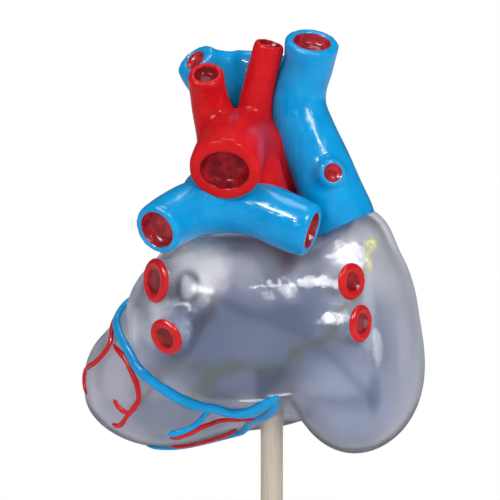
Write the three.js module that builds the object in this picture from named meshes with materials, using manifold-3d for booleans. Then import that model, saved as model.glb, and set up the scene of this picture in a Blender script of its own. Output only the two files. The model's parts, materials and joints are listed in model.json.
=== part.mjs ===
// Human heart demonstration model at life size, on a rod stand.
// Millimetres, +Z up. The origin is on the floor under the rod. +X is the side that the heart's apex
// points to, and +Y is the heart's back, where the pulmonary veins enter.
// The clear body is hollow. Its front wall over the two ventricles lifts away forwards.

import * as THREE from 'three';
import { mergeVertices } from 'three/addons/utils/BufferGeometryUtils.js';
import Module from 'manifold-3d';

const wasm = await Module();
wasm.setup();

// Fits
const clearance = 0.3;
const facetClearance = 0.45;
const overcut = 1;
const farReach = 320;

// Facets
const outerDetail = 7;
const innerDetail = 4;
const roundSides = 18;
const vesselSides = 14;
const smallSides = 12;
const tubeSegments = 3;
const vesselSteps = { aorta: 16, flank: 4, cava: 16, artery: 12, vein: 12, bar: 12, trunk: 10 };
const pathwaySteps = { tract: 24, his: 12, branch: 9 };

// Search for the surface: its start, its steps and the share of the rest that each goes
const marchStart = 120;
const marchSteps = 90;
const marchShare = 0.7;

// Height of the heart's own frame over the floor
const heartRise = 40;

// Stand
const baseLength = 116;
const baseWidth = 88;
const baseHeight = 11.5;
const baseCorner = 20;
const baseEdge = 2.5;
const baseFloorGap = 0.6;
const padThickness = 2.2;
const padMargin = 7;
const hubDiameter = 26;
const hubTopDiameter = 18;
const hubHeight = 8;
const hubSkirt = 4;
const hubSkirtHeight = 1.4;
const hubRound = 0.8;
const rodDiameter = 8;
const rodSeat = 8.2;
const rodChamfer = 0.6;
const screwDiameter = 5;
const screwHeadDiameter = 9;
const screwHeadHeight = 2.2;
const screwReach = 10;
const hexAcrossCorners = 4.6;
const hexDepth = 1.3;
const washerDiameter = 10.4;
const washerThickness = 1;

// Socket in the heart, and the sleeve that turns in it
const sleeveWall = 1.4;
const socketWall = 1.9;
const socketHeight = 17.2;
const rodDepth = 8.8;
const socketSeatMargin = 2.4;
const rodHoleClearance = 0.6;

// Heights that follow from how high the heart stands
const socketFloor = heartRise + socketHeight;
const rodTop = socketFloor + rodDepth;

// Clear body and its inner walls
const shellWall = 3.4;
const lobeBlend = 6;
const splitDepth = 20;
const seamReach = 12.6;
const valvePlateThickness = 3;
const ventricularSeptumThickness = 6;
const atrialWallThickness = 2.6;
// Shares of a papillary muscle's radius and length where its cone bends
const muscleBends = [[0.8, 0.4], [0.45, 0.9], [0.2, 1]];
const leftOutflowDiameter = 10;
const rightOutflowDiameter = 15;

// Valves: a ring with leaflets that hang below it by their drop
const valveSizes = {
  mitral: { diameter: 22, leaflets: 2, drop: 9, turn: 0.6 },
  tricuspid: { diameter: 18, leaflets: 3, drop: 4.5, turn: 0.3 },
  aortic: { diameter: 17, leaflets: 3, drop: 3.5, turn: 0.2 },
  pulmonary: { diameter: 16, leaflets: 3, drop: 3.5, turn: 0.2 },
};
const valveRingHeight = 3;
const valveRingWidth = 2.2;
const leafletThickness = 1.1;
const leafletSlit = 1.2;
const leafletTipShare = 0.3;
const outflowDrop = 2;

// Locks of the front wall: two pairs of magnets and two pins, each in a boss
const lockAngles = { left: 28, side: -24, low: -112, right: 208 };
const bossDiameter = 9.4;
const bossDepth = 6;
const bossRoomLength = 80;
const magnetDiameter = 5;
const magnetThickness = 2.5;
const magnetRecess = 0.2;
const pinDiameter = 2.4;
const pinLength = 9;

// Vessel ends
const largeMouthDepth = 3.4;
const smallMouthDepth = 1.8;
const mouthReach = 4;
// Shares of a mouth's radius and depth where its bowl bends
const mouthBends = [[0.72, 0.85], [0.95, 0.4]];
const ringThickness = 2;
const ringLip = 0.8;
const ringDish = 1.4;
const glueGap = 0.1;
const rootRise = 3;
const rootDepth = 7;
const rootStep = 0.2;
const azygosLength = 9;
const azygosRadius = 5;
const azygosFlare = 2;
const azygosRound = 0.8;
const azygosBore = 3.2;
const azygosNeck = 5.4;

// Raised lines and the conduction pathway
const sinusRadius = 1.7;
const veinRadius = 1.2;
const middleVeinRadius = 1.9;
const arteryRadius = 1;
const frontArteryRadius = 1.3;
const lineLift = 0.35;
const tractRadius = 1;
const nodeRadius = 2.4;
const bundleRadius = 1.2;
const bundleStandOff = 1.5;
const hisDrop = 7;

// The lobes whose smooth union is the outer surface of the heart, in its own frame
const lobes = {
  leftAtrium: { centre: [12, 6, 47.5], radii: [39.1, 31, 30.2] },
  leftAtriumRightEnd: { centre: [-17, 14, 53], radii: [18, 18, 17] },
  rightAtrium: { centre: [-28, 0, 41.5], radii: [23.9, 30, 40.6] },
  rightAtriumBase: { centre: [-30, 3, 28.4], radii: [23, 27.4, 27.4] },
  rightAtriumShoulder: { centre: [-30, -2, 75], radii: [11, 13, 11] },
  leftVentricle: { centre: [38.5, -12, 24], radii: [28.2, 27, 24] },
  leftVentricleShoulder: { centre: [44, -6, 40], radii: [11.5, 14, 12.5] },
  rightVentricle: { centre: [10, -19, 27.4], radii: [40, 25, 23.2] },
  apex: { centre: [35, -18, 16.3], radii: [30.6, 21, 15.9] },
  crux: { centre: [6, 1, 20.5], radii: [14, 13, 8] },
  outflow: { centre: [14, -24, 60], radii: [16, 14, 18] },
  leftAuricle: { centre: [29, -15, 63], radii: [13, 13, 9] },
};
const heartCentre = inHeart([8, -4, 42]);

// The left atrium's own room: its wall inside the heart parts it from the right atrium
const atriumRoom = {
  main: { centre: [12, 14, 47], radii: [40, 24, 33] },
  rightEnd: { centre: [-17, 14, 53], radii: [18, 18, 17] },
};
const atriumCentre = inHeart([4, 14, 48]);
const atrialSeptumBack = 26;

// The groove plane between atria and ventricles, and the plane of the ventricular septum
const groovePoint = inHeart([33, 16, 34]);
const apexWay = new THREE.Vector3(0.426, -0.395, -0.813).normalize();
const septumPoint = inHeart([24, -14, 28]);
const septumWay = new THREE.Vector3(-0.643, -0.765, 0.034).normalize();
const septumBack = 5;
const upWay = new THREE.Vector3(0, 0, 1);
const frontWay = new THREE.Vector3(0, -1, 0);
const backWay = new THREE.Vector3(0, 1, 0);

const clearPlastic = { color: 0x8f97ab, roughness: 0.12, metalness: 0 };
const innerPlastic = { color: 0xaab2c2, roughness: 0.2, metalness: 0 };
const redPaint = { color: 0xda2226, roughness: 0.2, metalness: 0 };
const bluePaint = { color: 0x0097d6, roughness: 0.2, metalness: 0 };
const yellowPaint = { color: 0xd9cf5a, roughness: 0.4, metalness: 0 };
const steel = { color: 0xb5aca2, roughness: 0.35, metalness: 0.9 };
const brightMetal = { color: 0xc9ccd0, roughness: 0.25, metalness: 1 };
const whitePlastic = { color: 0xe9e9e6, roughness: 0.5, metalness: 0 };
const padRubber = { color: 0x2b2b2d, roughness: 0.9, metalness: 0 };

const model = new THREE.Group();
model.name = 'heart_model';

// Solids

function vec(point) {
  return new THREE.Vector3(...point);
}

// A place in the heart's own frame, whose floor is heartRise over the stand's
function inHeart([x, y, z]) {
  return new THREE.Vector3(x, y, z + heartRise);
}

function solid(geometry) {
  const plain = geometry.clone();
  plain.deleteAttribute('normal');
  plain.deleteAttribute('uv');
  const merged = mergeVertices(plain, 1e-4);
  return new wasm.Manifold(new wasm.Mesh({
    numProp: 3,
    vertProperties: new Float32Array(merged.attributes.position.array),
    triVerts: new Uint32Array(merged.index.array),
  }));
}

function add(name, shape, paint) {
  const out = shape.getMesh();
  const geometry = new THREE.BufferGeometry();
  geometry.setAttribute('position', new THREE.BufferAttribute(new Float32Array(out.vertProperties), 3));
  geometry.setIndex(new THREE.BufferAttribute(new Uint32Array(out.triVerts), 1));
  geometry.computeVertexNormals();
  const mesh = new THREE.Mesh(geometry, new THREE.MeshStandardMaterial(paint));
  mesh.name = name;
  model.add(mesh);
}

function joined(shapes) {
  return shapes.reduce((whole, shape) => whole.add(shape));
}

// A shape drawn along +Z is turned to point along a direction, with its own origin moved to a point
function aim(geometry, point, direction) {
  const turn = new THREE.Quaternion().setFromUnitVectors(upWay, direction.clone().normalize());
  return geometry.clone().applyQuaternion(turn).translate(point.x, point.y, point.z);
}

// A point moved along a direction
function along(point, direction, distance) {
  return point.clone().addScaledVector(direction, distance);
}

function rod(radius, length, point, direction, sides = roundSides) {
  const geometry = new THREE.CylinderGeometry(radius, radius, length, sides);
  geometry.rotateX(Math.PI / 2).translate(0, 0, length / 2);
  return solid(aim(geometry, point, direction));
}

function upright(radius, low, high, sides = roundSides) {
  return rod(radius, high - low, new THREE.Vector3(0, 0, low), upWay, sides);
}

// A closed turned shape about +Z; the profile lists [radius, height] and starts and ends on the axis
function turned(profile, sides = roundSides) {
  const points = profile.map(([radius, height]) => new THREE.Vector2(radius, height));
  return new THREE.LatheGeometry(points, sides).rotateX(Math.PI / 2);
}

// The block on one side of a plane; it starts at the plane, moved by an offset, and goes along the way
function halfSpace(point, way, offset) {
  const block = new THREE.BoxGeometry(farReach, farReach, farReach);
  block.translate(0, 0, farReach / 2 + offset);
  return solid(aim(block, point, way));
}

function slab(point, way, low, high) {
  const block = new THREE.BoxGeometry(farReach, farReach, high - low);
  block.translate(0, 0, (low + high) / 2);
  return solid(aim(block, point, way));
}

// A rectangle with round corners, centred on the origin
function roundedOutline(length, width, corner) {
  const outline = new THREE.Shape();
  const x = length / 2 - corner;
  const y = width / 2 - corner;
  outline.absarc(x, y, corner, 0, 0.5 * Math.PI);
  outline.absarc(-x, y, corner, 0.5 * Math.PI, Math.PI);
  outline.absarc(-x, -y, corner, Math.PI, 1.5 * Math.PI);
  outline.absarc(x, -y, corner, 1.5 * Math.PI, 2 * Math.PI);
  return outline;
}

// A round bar along a path of points
function roundBar(points, radius, steps) {
  const outline = new THREE.Shape();
  outline.absarc(0, 0, radius, 0, 2 * Math.PI);
  const path = new THREE.CatmullRomCurve3(points);
  const settings = { steps, extrudePath: path, curveSegments: tubeSegments };
  return solid(new THREE.ExtrudeGeometry(outline, settings));
}

// Skins of the lobes

// Rough signed distance to one ellipsoid lobe
function lobeDistance(point, lobe) {
  const x = point.x - lobe.centre[0];
  const y = point.y - lobe.centre[1];
  const z = point.z - lobe.centre[2] - heartRise;
  const [a, b, c] = lobe.radii;
  const near = Math.hypot(x / a, y / b, z / c);
  const slope = Math.hypot(x / a ** 2, y / b ** 2, z / c ** 2) + 1e-9;
  return (near * (near - 1)) / slope;
}

// Rough signed distance to a group of lobes, blended by a smooth minimum
function blendDistance(point, group) {
  const [first, ...others] = Object.values(group).map((lobe) => lobeDistance(point, lobe));
  let distance = first;
  for (const next of others) {
    const overlap = Math.max(lobeBlend - Math.abs(distance - next), 0) / lobeBlend;
    distance = Math.min(distance, next) - (overlap * overlap * lobeBlend) / 4;
  }
  return distance;
}

// Where a line from inside a group of lobes crosses their surface moved outwards by an offset
function surfacePoint(origin, direction, offset, group = lobes) {
  const way = direction.clone().normalize();
  let far = marchStart;
  for (let step = 0; step < marchSteps; step += 1) {
    const excess = blendDistance(along(origin, way, far), group) - offset;
    far -= marchShare * excess;
  }
  return along(origin, way, far);
}

// The surface point behind a given point, as seen from the heart's centre
function onSkin(point, offset) {
  return surfacePoint(heartCentre, point.clone().sub(heartCentre), offset);
}

function onAtrium(point, offset) {
  return surfacePoint(atriumCentre, point.clone().sub(atriumCentre), offset, atriumRoom);
}

function skin(offset, detail, centre = heartCentre, group = lobes) {
  const geometry = new THREE.IcosahedronGeometry(1, detail);
  const position = geometry.attributes.position;
  for (let index = 0; index < position.count; index += 1) {
    const direction = new THREE.Vector3().fromBufferAttribute(position, index);
    const point = surfacePoint(centre, direction, offset, group);
    position.setXYZ(index, point.x, point.y, point.z);
  }
  return solid(geometry);
}

// Vessels

// A closed loft along a smooth route. Each station is [x, y, z, radius across, radius up]
function vessel(stations, across, steps, sides, extra = 0) {
  const curve = new THREE.CatmullRomCurve3(stations.map(inHeart));
  const radii = stations.map(([, , , a, b = a]) => new THREE.Vector3(a + extra, b + extra, 0));
  const width = new THREE.CatmullRomCurve3(radii);
  const vertices = [];
  const faces = [];
  for (let ring = 0; ring <= steps; ring += 1) {
    const place = curve.getPoint(ring / steps);
    const tangent = curve.getTangent(ring / steps);
    const up = new THREE.Vector3().crossVectors(tangent, across).normalize();
    const side = new THREE.Vector3().crossVectors(up, tangent).normalize();
    const size = width.getPoint(ring / steps);
    for (let corner = 0; corner < sides; corner += 1) {
      const angle = (corner / sides) * 2 * Math.PI;
      const point = along(place, side, Math.cos(angle) * size.x);
      point.addScaledVector(up, Math.sin(angle) * size.y);
      vertices.push(point.x, point.y, point.z);
    }
  }
  for (let ring = 0; ring < steps; ring += 1) {
    for (let corner = 0; corner < sides; corner += 1) {
      const here = ring * sides + corner;
      const next = ring * sides + ((corner + 1) % sides);
      faces.push(here, next, here + sides);
      faces.push(next, next + sides, here + sides);
    }
  }
  const last = steps * sides;
  for (let corner = 1; corner < sides - 1; corner += 1) {
    faces.push(0, corner + 1, corner);
    faces.push(last, last + corner, last + corner + 1);
  }
  const geometry = new THREE.BufferGeometry();
  geometry.setAttribute('position', new THREE.Float32BufferAttribute(vertices, 3));
  geometry.setIndex(faces);
  return solid(geometry);
}

// The way that a route's end faces, away from the vessel
function endFacing(route, atStart) {
  const curve = new THREE.CatmullRomCurve3(route.map(inHeart));
  return atStart ? curve.getTangent(0).negate() : curve.getTangent(1);
}

// A dished mouth: a shallow bowl, wider at its rim, that is cut into a vessel's end
function mouth(point, facing, radius, depth) {
  const bowl = turned([
    [0, -depth],
    ...mouthBends.map(([wide, deep]) => [radius * wide, -depth * deep]),
    [radius, 0],
    [radius, mouthReach],
    [0, mouthReach],
  ], vesselSides);
  return solid(aim(bowl, point, facing));
}

function routeMouth(route, atStart, radius, depth) {
  const station = atStart ? route[0] : route.at(-1);
  return mouth(inHeart(station), endFacing(route, atStart), radius, depth);
}

// Skins of the clear body, and its split

const outerSkin = skin(0, outerDetail);
const vesselSkin = skin(clearance, outerDetail);
const innerSkin = skin(-shellWall, innerDetail);
const insideSkin = skin(-shellWall - facetClearance, innerDetail);
const frontSplit = new THREE.Vector3(0, -splitDepth, 0);

function frontRegion(offset) {
  return halfSpace(frontSplit, frontWay, offset).intersect(halfSpace(groovePoint, apexWay, offset));
}

// The casting of the ventricles starts at the groove, and beside the right atrium's lower dome
const seamPoint = new THREE.Vector3(-seamReach, 0, 0);
const seamWay = new THREE.Vector3(1, 0, 0);

function ventricleRegion(offset) {
  return halfSpace(groovePoint, apexWay, offset).intersect(halfSpace(seamPoint, seamWay, offset));
}

// The four places round the split where the front wall is located and held
const sectionCentre = inHeart([22, -splitDepth, 28]);

function lockPoint(angle) {
  const radians = THREE.MathUtils.degToRad(angle);
  const way = new THREE.Vector3(Math.cos(radians), 0, Math.sin(radians));
  return surfacePoint(sectionCentre, way, -shellWall - bossDiameter / 4);
}

const lockPoints = {
  left: lockPoint(lockAngles.left),
  side: lockPoint(lockAngles.side),
  low: lockPoint(lockAngles.low),
  right: lockPoint(lockAngles.right),
};

function bosses(way) {
  const columns = Object.values(lockPoints).map((point) => rod(bossDiameter / 2, bossDepth, point, way));
  return joined(columns).intersect(outerSkin);
}

function magnetPocket(point, way) {
  const start = along(point, way, -overcut);
  const depth = magnetRecess + magnetThickness + clearance;
  return rod(magnetDiameter / 2 + clearance, overcut + depth, start, way, smallSides);
}

function pinHole(point, way) {
  const start = along(point, way, -overcut);
  return rod(pinDiameter / 2 + clearance, overcut + pinLength / 2 + clearance, start, way, smallSides);
}

function lockCuts(way) {
  return joined([
    magnetPocket(lockPoints.left, way),
    magnetPocket(lockPoints.right, way),
    pinHole(lockPoints.side, way),
    pinHole(lockPoints.low, way),
  ]);
}

// Room for the bosses of both shells in the plates behind them
const bossRoom = joined(Object.values(lockPoints).map((point) => {
  const start = along(point, backWay, bossDepth + overcut);
  return rod(bossDiameter / 2 + clearance, bossRoomLength, start, frontWay);
}));

// Stand

const screwBottom = padThickness + 2 * clearance;
const washerBottom = screwBottom + screwHeadHeight + clearance;
const washerTop = washerBottom + washerThickness;
const hubTop = baseHeight + hubHeight;

function padSolid(extra, low, high) {
  const length = baseLength - 2 * padMargin + 2 * extra;
  const width = baseWidth - 2 * padMargin + 2 * extra;
  const outline = roundedOutline(length, width, baseCorner - padMargin + extra);
  const settings = { depth: high - low, bevelEnabled: false, curveSegments: 4 };
  return solid(new THREE.ExtrudeGeometry(outline, settings).translate(0, 0, low));
}

function shankRoom(low, high) {
  return upright(screwDiameter / 2 + clearance, low, high, smallSides);
}

function basePlate() {
  const edge = 2 * baseEdge;
  const outline = roundedOutline(baseLength - edge, baseWidth - edge, baseCorner - baseEdge);
  const plate = new THREE.ExtrudeGeometry(outline, {
    depth: baseHeight - baseFloorGap - edge,
    bevelThickness: baseEdge,
    bevelSize: baseEdge,
    bevelSegments: 2,
    curveSegments: 3,
  });
  plate.translate(0, 0, baseFloorGap + baseEdge);
  const skirtRadius = hubDiameter / 2 + hubSkirt;
  const hub = turned([
    [0, baseHeight / 2],
    [skirtRadius, baseHeight / 2],
    [skirtRadius, baseHeight - clearance],
    [hubDiameter / 2, baseHeight + hubSkirtHeight],
    [hubTopDiameter / 2 + hubRound, hubTop - hubRound],
    [hubTopDiameter / 2, hubTop],
    [0, hubTop],
  ]);
  return solid(plate)
    .add(solid(hub))
    .subtract(padSolid(clearance, -overcut, padThickness + clearance))
    .subtract(upright(washerDiameter / 2 + clearance, padThickness, washerTop + clearance))
    .subtract(shankRoom(padThickness, rodSeat))
    .subtract(upright(rodDiameter / 2 + clearance, rodSeat - clearance, hubTop + overcut));
}

function screw() {
  const headTop = screwBottom + screwHeadHeight;
  const head = upright(screwHeadDiameter / 2, screwBottom, headTop);
  const shank = upright(screwDiameter / 2, headTop - clearance, rodSeat + screwReach, smallSides);
  const hex = upright(hexAcrossCorners / 2, screwBottom - overcut, screwBottom + hexDepth, 6);
  return head.add(shank).subtract(hex);
}

function washer() {
  const disc = upright(washerDiameter / 2, washerBottom, washerTop);
  return disc.subtract(shankRoom(washerBottom - overcut, washerTop + overcut));
}

function standRod() {
  const radius = rodDiameter / 2;
  const bar = turned([
    [0, rodSeat],
    [radius, rodSeat],
    [radius, rodTop - rodChamfer],
    [radius - rodChamfer, rodTop],
    [0, rodTop],
  ]);
  return solid(bar).subtract(shankRoom(rodSeat - overcut, rodSeat + screwReach + clearance));
}

add('base_plate', basePlate(), whitePlastic);
add('base_pad', padSolid(0, 0, padThickness), padRubber);
add('rod_screw', screw(), brightMetal);
add('rod_washer', washer(), brightMetal);
add('stand_rod', standRod(), steel);

// Rod socket and sleeve

const sleeveBore = rodDiameter / 2 + clearance;
const sleeveRadius = sleeveBore + sleeveWall;
const sleeveTop = rodTop + clearance + sleeveWall;
const socketBore = sleeveRadius + clearance;
const socketRadius = socketBore + socketWall;
const socketTop = sleeveTop + clearance + socketWall;
const socketFoot = socketFloor + clearance;
const seatRadius = socketRadius + socketSeatMargin;

const sleeve = upright(sleeveRadius, socketFoot, sleeveTop)
  .subtract(upright(sleeveBore, 0, rodTop + clearance));
const socket = upright(socketRadius, socketFoot, socketTop)
  .subtract(upright(socketBore, 0, sleeveTop + clearance));
add('rod_sleeve', sleeve, whitePlastic);
add('rod_socket', socket, innerPlastic);

const rodRoom = upright(rodDiameter / 2 + rodHoleClearance, 0, socketFloor + overcut);
const socketRoom = upright(socketRadius + clearance, socketFloor, socketTop + clearance);
const socketSeat = upright(seatRadius, 0, socketFloor).intersect(outerSkin);
const seatRoom = upright(seatRadius + clearance, 0, socketFloor + clearance);

// Clear roots of the pulmonary veins, which stand out from the left atrium's wall

const stubs = {
  left_upper_pulmonary_vein: { at: [36.4, 23.9, 62.9], facing: [0.84, 0.54, 0.05], radius: 7.4, bore: 4.4 },
  left_lower_pulmonary_vein: { at: [33.7, 31.6, 46.2], facing: [0.6, 0.74, -0.3], radius: 6.4, bore: 3.8 },
  right_upper_pulmonary_vein: { at: [-24.1, 27.7, 63.3], facing: [-0.7, 0.71, 0.05], radius: 6.1, bore: 3.4 },
  right_lower_pulmonary_vein: { at: [-26.6, 30.7, 49.4], facing: [-0.82, 0.57, 0], radius: 6.2, bore: 3.9 },
};

function veinRoot({ at, facing, radius }) {
  const way = vec(facing).normalize();
  const foot = along(onSkin(inHeart(at), 0), way, -rootDepth);
  return rod(radius - rootStep, rootDepth + rootRise, foot, way, vesselSides);
}

const veinRoots = joined(Object.values(stubs).map(veinRoot)).subtract(innerSkin);

// Shells

// Where the two outflow vessels leave the body
const aorticSeat = onSkin(inHeart([3, -11, 72]), 0);
const aorticWay = new THREE.Vector3(-0.25, -0.05, 1).normalize();
const pulmonarySeat = onSkin(inHeart([19, -24, 76]), 0);
const pulmonaryWay = new THREE.Vector3(0.25, 0.05, 1).normalize();

function seatHole(point, way, { diameter }) {
  const reach = shellWall * 4;
  return rod(diameter / 2 + clearance, 2 * reach, along(point, way, -reach), way);
}

const aorticHole = seatHole(aorticSeat, aorticWay, valveSizes.aortic);
const pulmonaryHole = seatHole(pulmonarySeat, pulmonaryWay, valveSizes.pulmonary);
const shell = outerSkin.subtract(innerSkin);

const rearShell = shell
  .add(bosses(backWay))
  .subtract(frontRegion(-clearance / 2))
  .subtract(lockCuts(backWay))
  .add(socketSeat)
  .subtract(socketRoom)
  .subtract(rodRoom);
const atrialShell = rearShell
  .subtract(ventricleRegion(-clearance / 2))
  .add(veinRoots)
  .subtract(aorticHole)
  .subtract(pulmonaryHole);
add('atrial_shell', atrialShell, clearPlastic);
add('ventricular_shell', rearShell.intersect(ventricleRegion(clearance / 2)), clearPlastic);

const frontWall = shell
  .add(bosses(frontWay))
  .intersect(frontRegion(clearance / 2))
  .subtract(lockCuts(frontWay));
add('front_heart_wall', frontWall, clearPlastic);

function magnet(point, way) {
  return rod(magnetDiameter / 2, magnetThickness, along(point, way, magnetRecess), way, smallSides);
}

function locatingPin(point) {
  return rod(pinDiameter / 2, pinLength, along(point, backWay, pinLength / 2), frontWay, smallSides);
}

add('shell_magnet_left', magnet(lockPoints.left, backWay), brightMetal);
add('shell_magnet_right', magnet(lockPoints.right, backWay), brightMetal);
add('wall_magnet_left', magnet(lockPoints.left, frontWay), brightMetal);
add('wall_magnet_right', magnet(lockPoints.right, frontWay), brightMetal);
add('locating_pin_side', locatingPin(lockPoints.side), brightMetal);
add('locating_pin_low', locatingPin(lockPoints.low), brightMetal);

// Places on the groove plane and on the septum

function ontoPlane(point, plane, way) {
  const miss = point.clone().sub(plane).dot(way);
  return along(point, way, -miss);
}

function onGroove(point) {
  return ontoPlane(inHeart(point), groovePoint, apexWay);
}

const mitralPoint = onGroove([28, 6, 36]);
const tricuspidPoint = onGroove([-20, -14, 22]);
const leftOutflowPoint = onGroove([31, -12.5, 47]);
const rightOutflowPoint = onGroove([13, -30, 47]);

// The septum's own directions: along the groove towards the front, and down to the apex
const septumAlong = new THREE.Vector3().crossVectors(septumWay, apexWay).normalize();
const septumDown = new THREE.Vector3().crossVectors(septumAlong, septumWay).normalize();
const septumLow = ontoPlane(inHeart([12, -4, 30]), septumPoint, septumWay);
const septumTop = ontoPlane(septumLow, groovePoint, apexWay);

function onSeptum([forwards, down, side]) {
  return septumTop.clone()
    .addScaledVector(septumAlong, forwards)
    .addScaledVector(septumDown, down)
    .addScaledVector(septumWay, side);
}

// Conduction pathway: on the right atrium's back wall, the left atrium's wall and the septum

const sinusNodePoint = onSkin(inHeart([-39, 7, 77]), -shellWall - clearance - nodeRadius);
const avNodePoint = onAtrium(inHeart([-11.5, -13, 30]), clearance + nodeRadius);
const tractOnShell = [[-37.7, 15.5, 73.3], [-35.5, 17, 68]];
const tractOnAtrium = [[-31, 0, 61], [-29, -1, 55], [-27, -2, 49], [-25.5, -2.5, 44], [-21, -5, 38]];
const bundleReach = ventricularSeptumThickness / 2 + clearance + bundleRadius;
const bundleFar = bundleReach + bundleStandOff;

function conductionNode(point, extra = 0) {
  return solid(new THREE.IcosahedronGeometry(nodeRadius + extra, 1).translate(point.x, point.y, point.z));
}

function internodalTract() {
  const shellLift = -shellWall - facetClearance - tractRadius;
  const atriumLift = facetClearance + tractRadius;
  const points = [
    sinusNodePoint,
    ...tractOnShell.map((point) => onSkin(inHeart(point), shellLift)),
    ...tractOnAtrium.map((point) => onAtrium(inHeart(point), atriumLift)),
    avNodePoint,
  ];
  return roundBar(points, tractRadius, pathwaySteps.tract);
}

const hisPoints = [
  avNodePoint,
  along(avNodePoint, apexWay, hisDrop),
  onSeptum([-4, 4, bundleReach + 8]),
  onSeptum([0, 4, bundleFar]),
];

// Each path lists places on the septum: forwards, down and to the side
const leftBranchTrunk = [
  [0, 5, bundleFar],
  [0.5, 5.5, 0],
  [1.5, 7, -bundleReach],
  [4, 14, -bundleReach],
  [8, 22, -bundleReach],
  [9, 29, -bundleReach],
];
const leftBranchPaths = [
  leftBranchTrunk,
  [[1.5, 7, -bundleReach], [6, 10, -bundleReach], [12, 13, -bundleReach], [18, 18, -bundleReach]],
  [[4, 14, -bundleReach], [0, 18, -bundleReach], [-2, 23, -bundleReach]],
];
const rightBranchPaths = [
  [[2.6, 4.5, bundleReach], [5, 9, bundleReach], [8, 16, bundleReach], [12, 23, bundleReach]],
  [[8, 16, bundleReach], [15, 18, bundleReach], [20, 23, bundleReach]],
];

function branches(paths, radius) {
  return joined(paths.map((path) => roundBar(path.map(onSeptum), radius, pathwaySteps.branch)));
}

const trunkRoom = branches([leftBranchTrunk], bundleRadius + clearance);
const hisRoom = roundBar(hisPoints, bundleRadius + clearance, pathwaySteps.his);

// Inner plates

function plateHole(point, diameter) {
  return rod(diameter / 2 + clearance, 4 * diameter, along(point, apexWay, -2 * diameter), apexWay);
}

const valvePlate = slab(groovePoint, apexWay, -valvePlateThickness, 0)
  .intersect(insideSkin)
  .subtract(plateHole(mitralPoint, valveSizes.mitral.diameter))
  .subtract(plateHole(tricuspidPoint, valveSizes.tricuspid.diameter))
  .subtract(plateHole(leftOutflowPoint, leftOutflowDiameter))
  .subtract(plateHole(rightOutflowPoint, rightOutflowDiameter))
  .subtract(socketRoom)
  .subtract(hisRoom)
  .subtract(bossRoom);
add('valve_plate', valvePlate, innerPlastic);

const halfSeptum = ventricularSeptumThickness / 2;
const ventricularSeptum = slab(septumPoint, septumWay, -halfSeptum, halfSeptum)
  .intersect(insideSkin)
  .intersect(halfSpace(groovePoint, apexWay, clearance))
  .subtract(halfSpace(new THREE.Vector3(0, septumBack, 0), backWay, 0))
  .subtract(socketRoom)
  .subtract(seatRoom)
  .subtract(trunkRoom)
  .subtract(bossRoom);
add('ventricular_septum', ventricularSeptum, innerPlastic);

const belowPlateTop = halfSpace(groovePoint, apexWay, -valvePlateThickness - clearance);
const atriumOuter = skin(0, innerDetail, atriumCentre, atriumRoom);
const atriumInner = skin(-atrialWallThickness, innerDetail, atriumCentre, atriumRoom);
const atrialSeptum = atriumOuter.subtract(atriumInner)
  .intersect(insideSkin)
  .subtract(belowPlateTop)
  .subtract(aorticHole)
  .subtract(socketRoom)
  .subtract(halfSpace(new THREE.Vector3(0, atrialSeptumBack, 0), backWay, 0));
add('atrial_septum', atrialSeptum, innerPlastic);

const tract = internodalTract()
  .intersect(insideSkin)
  .subtract(skin(clearance, innerDetail, atriumCentre, atriumRoom))
  .subtract(conductionNode(sinusNodePoint, clearance))
  .subtract(conductionNode(avNodePoint, clearance));
const bundle = roundBar(hisPoints, bundleRadius, pathwaySteps.his)
  .subtract(conductionNode(avNodePoint, clearance))
  .subtract(socketRoom)
  .subtract(trunkRoom);
const leftBranch = branches(leftBranchPaths, bundleRadius)
  .intersect(insideSkin)
  .subtract(bossRoom);
const rightBranch = branches(rightBranchPaths, bundleRadius)
  .intersect(insideSkin)
  .subtract(trunkRoom)
  .subtract(hisRoom)
  .subtract(bossRoom);
add('sinus_node', conductionNode(sinusNodePoint).intersect(insideSkin), yellowPaint);
add('atrioventricular_node', conductionNode(avNodePoint).subtract(belowPlateTop), yellowPaint);
add('internodal_tract', tract, yellowPaint);
add('bundle_of_his', bundle, yellowPaint);
add('left_bundle_branch', leftBranch, yellowPaint);
add('right_bundle_branch', rightBranch, yellowPaint);

// Papillary muscles: cones on the ventricles' walls that point at their valves

const leftChamber = inHeart([44, -8, 22]);
const rightChamber = inHeart([0, -16, 22]);
const papillaryMuscles = {
  back: { from: leftChamber, way: [0.1, 0.4, -0.9], target: mitralPoint, length: 15, radius: 4 },
  side: { from: leftChamber, way: [1, 0.1, -0.1], target: mitralPoint, length: 14, radius: 4 },
  right: { from: rightChamber, way: [-0.6, 0.1, -0.8], target: tricuspidPoint, length: 7, radius: 3 },
};

for (const [name, muscle] of Object.entries(papillaryMuscles)) {
  const foot = surfacePoint(muscle.from, vec(muscle.way), -shellWall);
  const root = -2 * shellWall;
  const cone = turned([
    [0, root],
    [muscle.radius, root],
    ...muscleBends.map(([wide, tall]) => [muscle.radius * wide, muscle.length * tall]),
    [0, muscle.length],
  ], smallSides);
  const placed = solid(aim(cone, foot, muscle.target.clone().sub(foot)))
    .intersect(insideSkin)
    .subtract(bossRoom)
    .subtract(seatRoom);
  add(`papillary_muscle_${name}`, placed, innerPlastic);
}

// Valves

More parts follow.
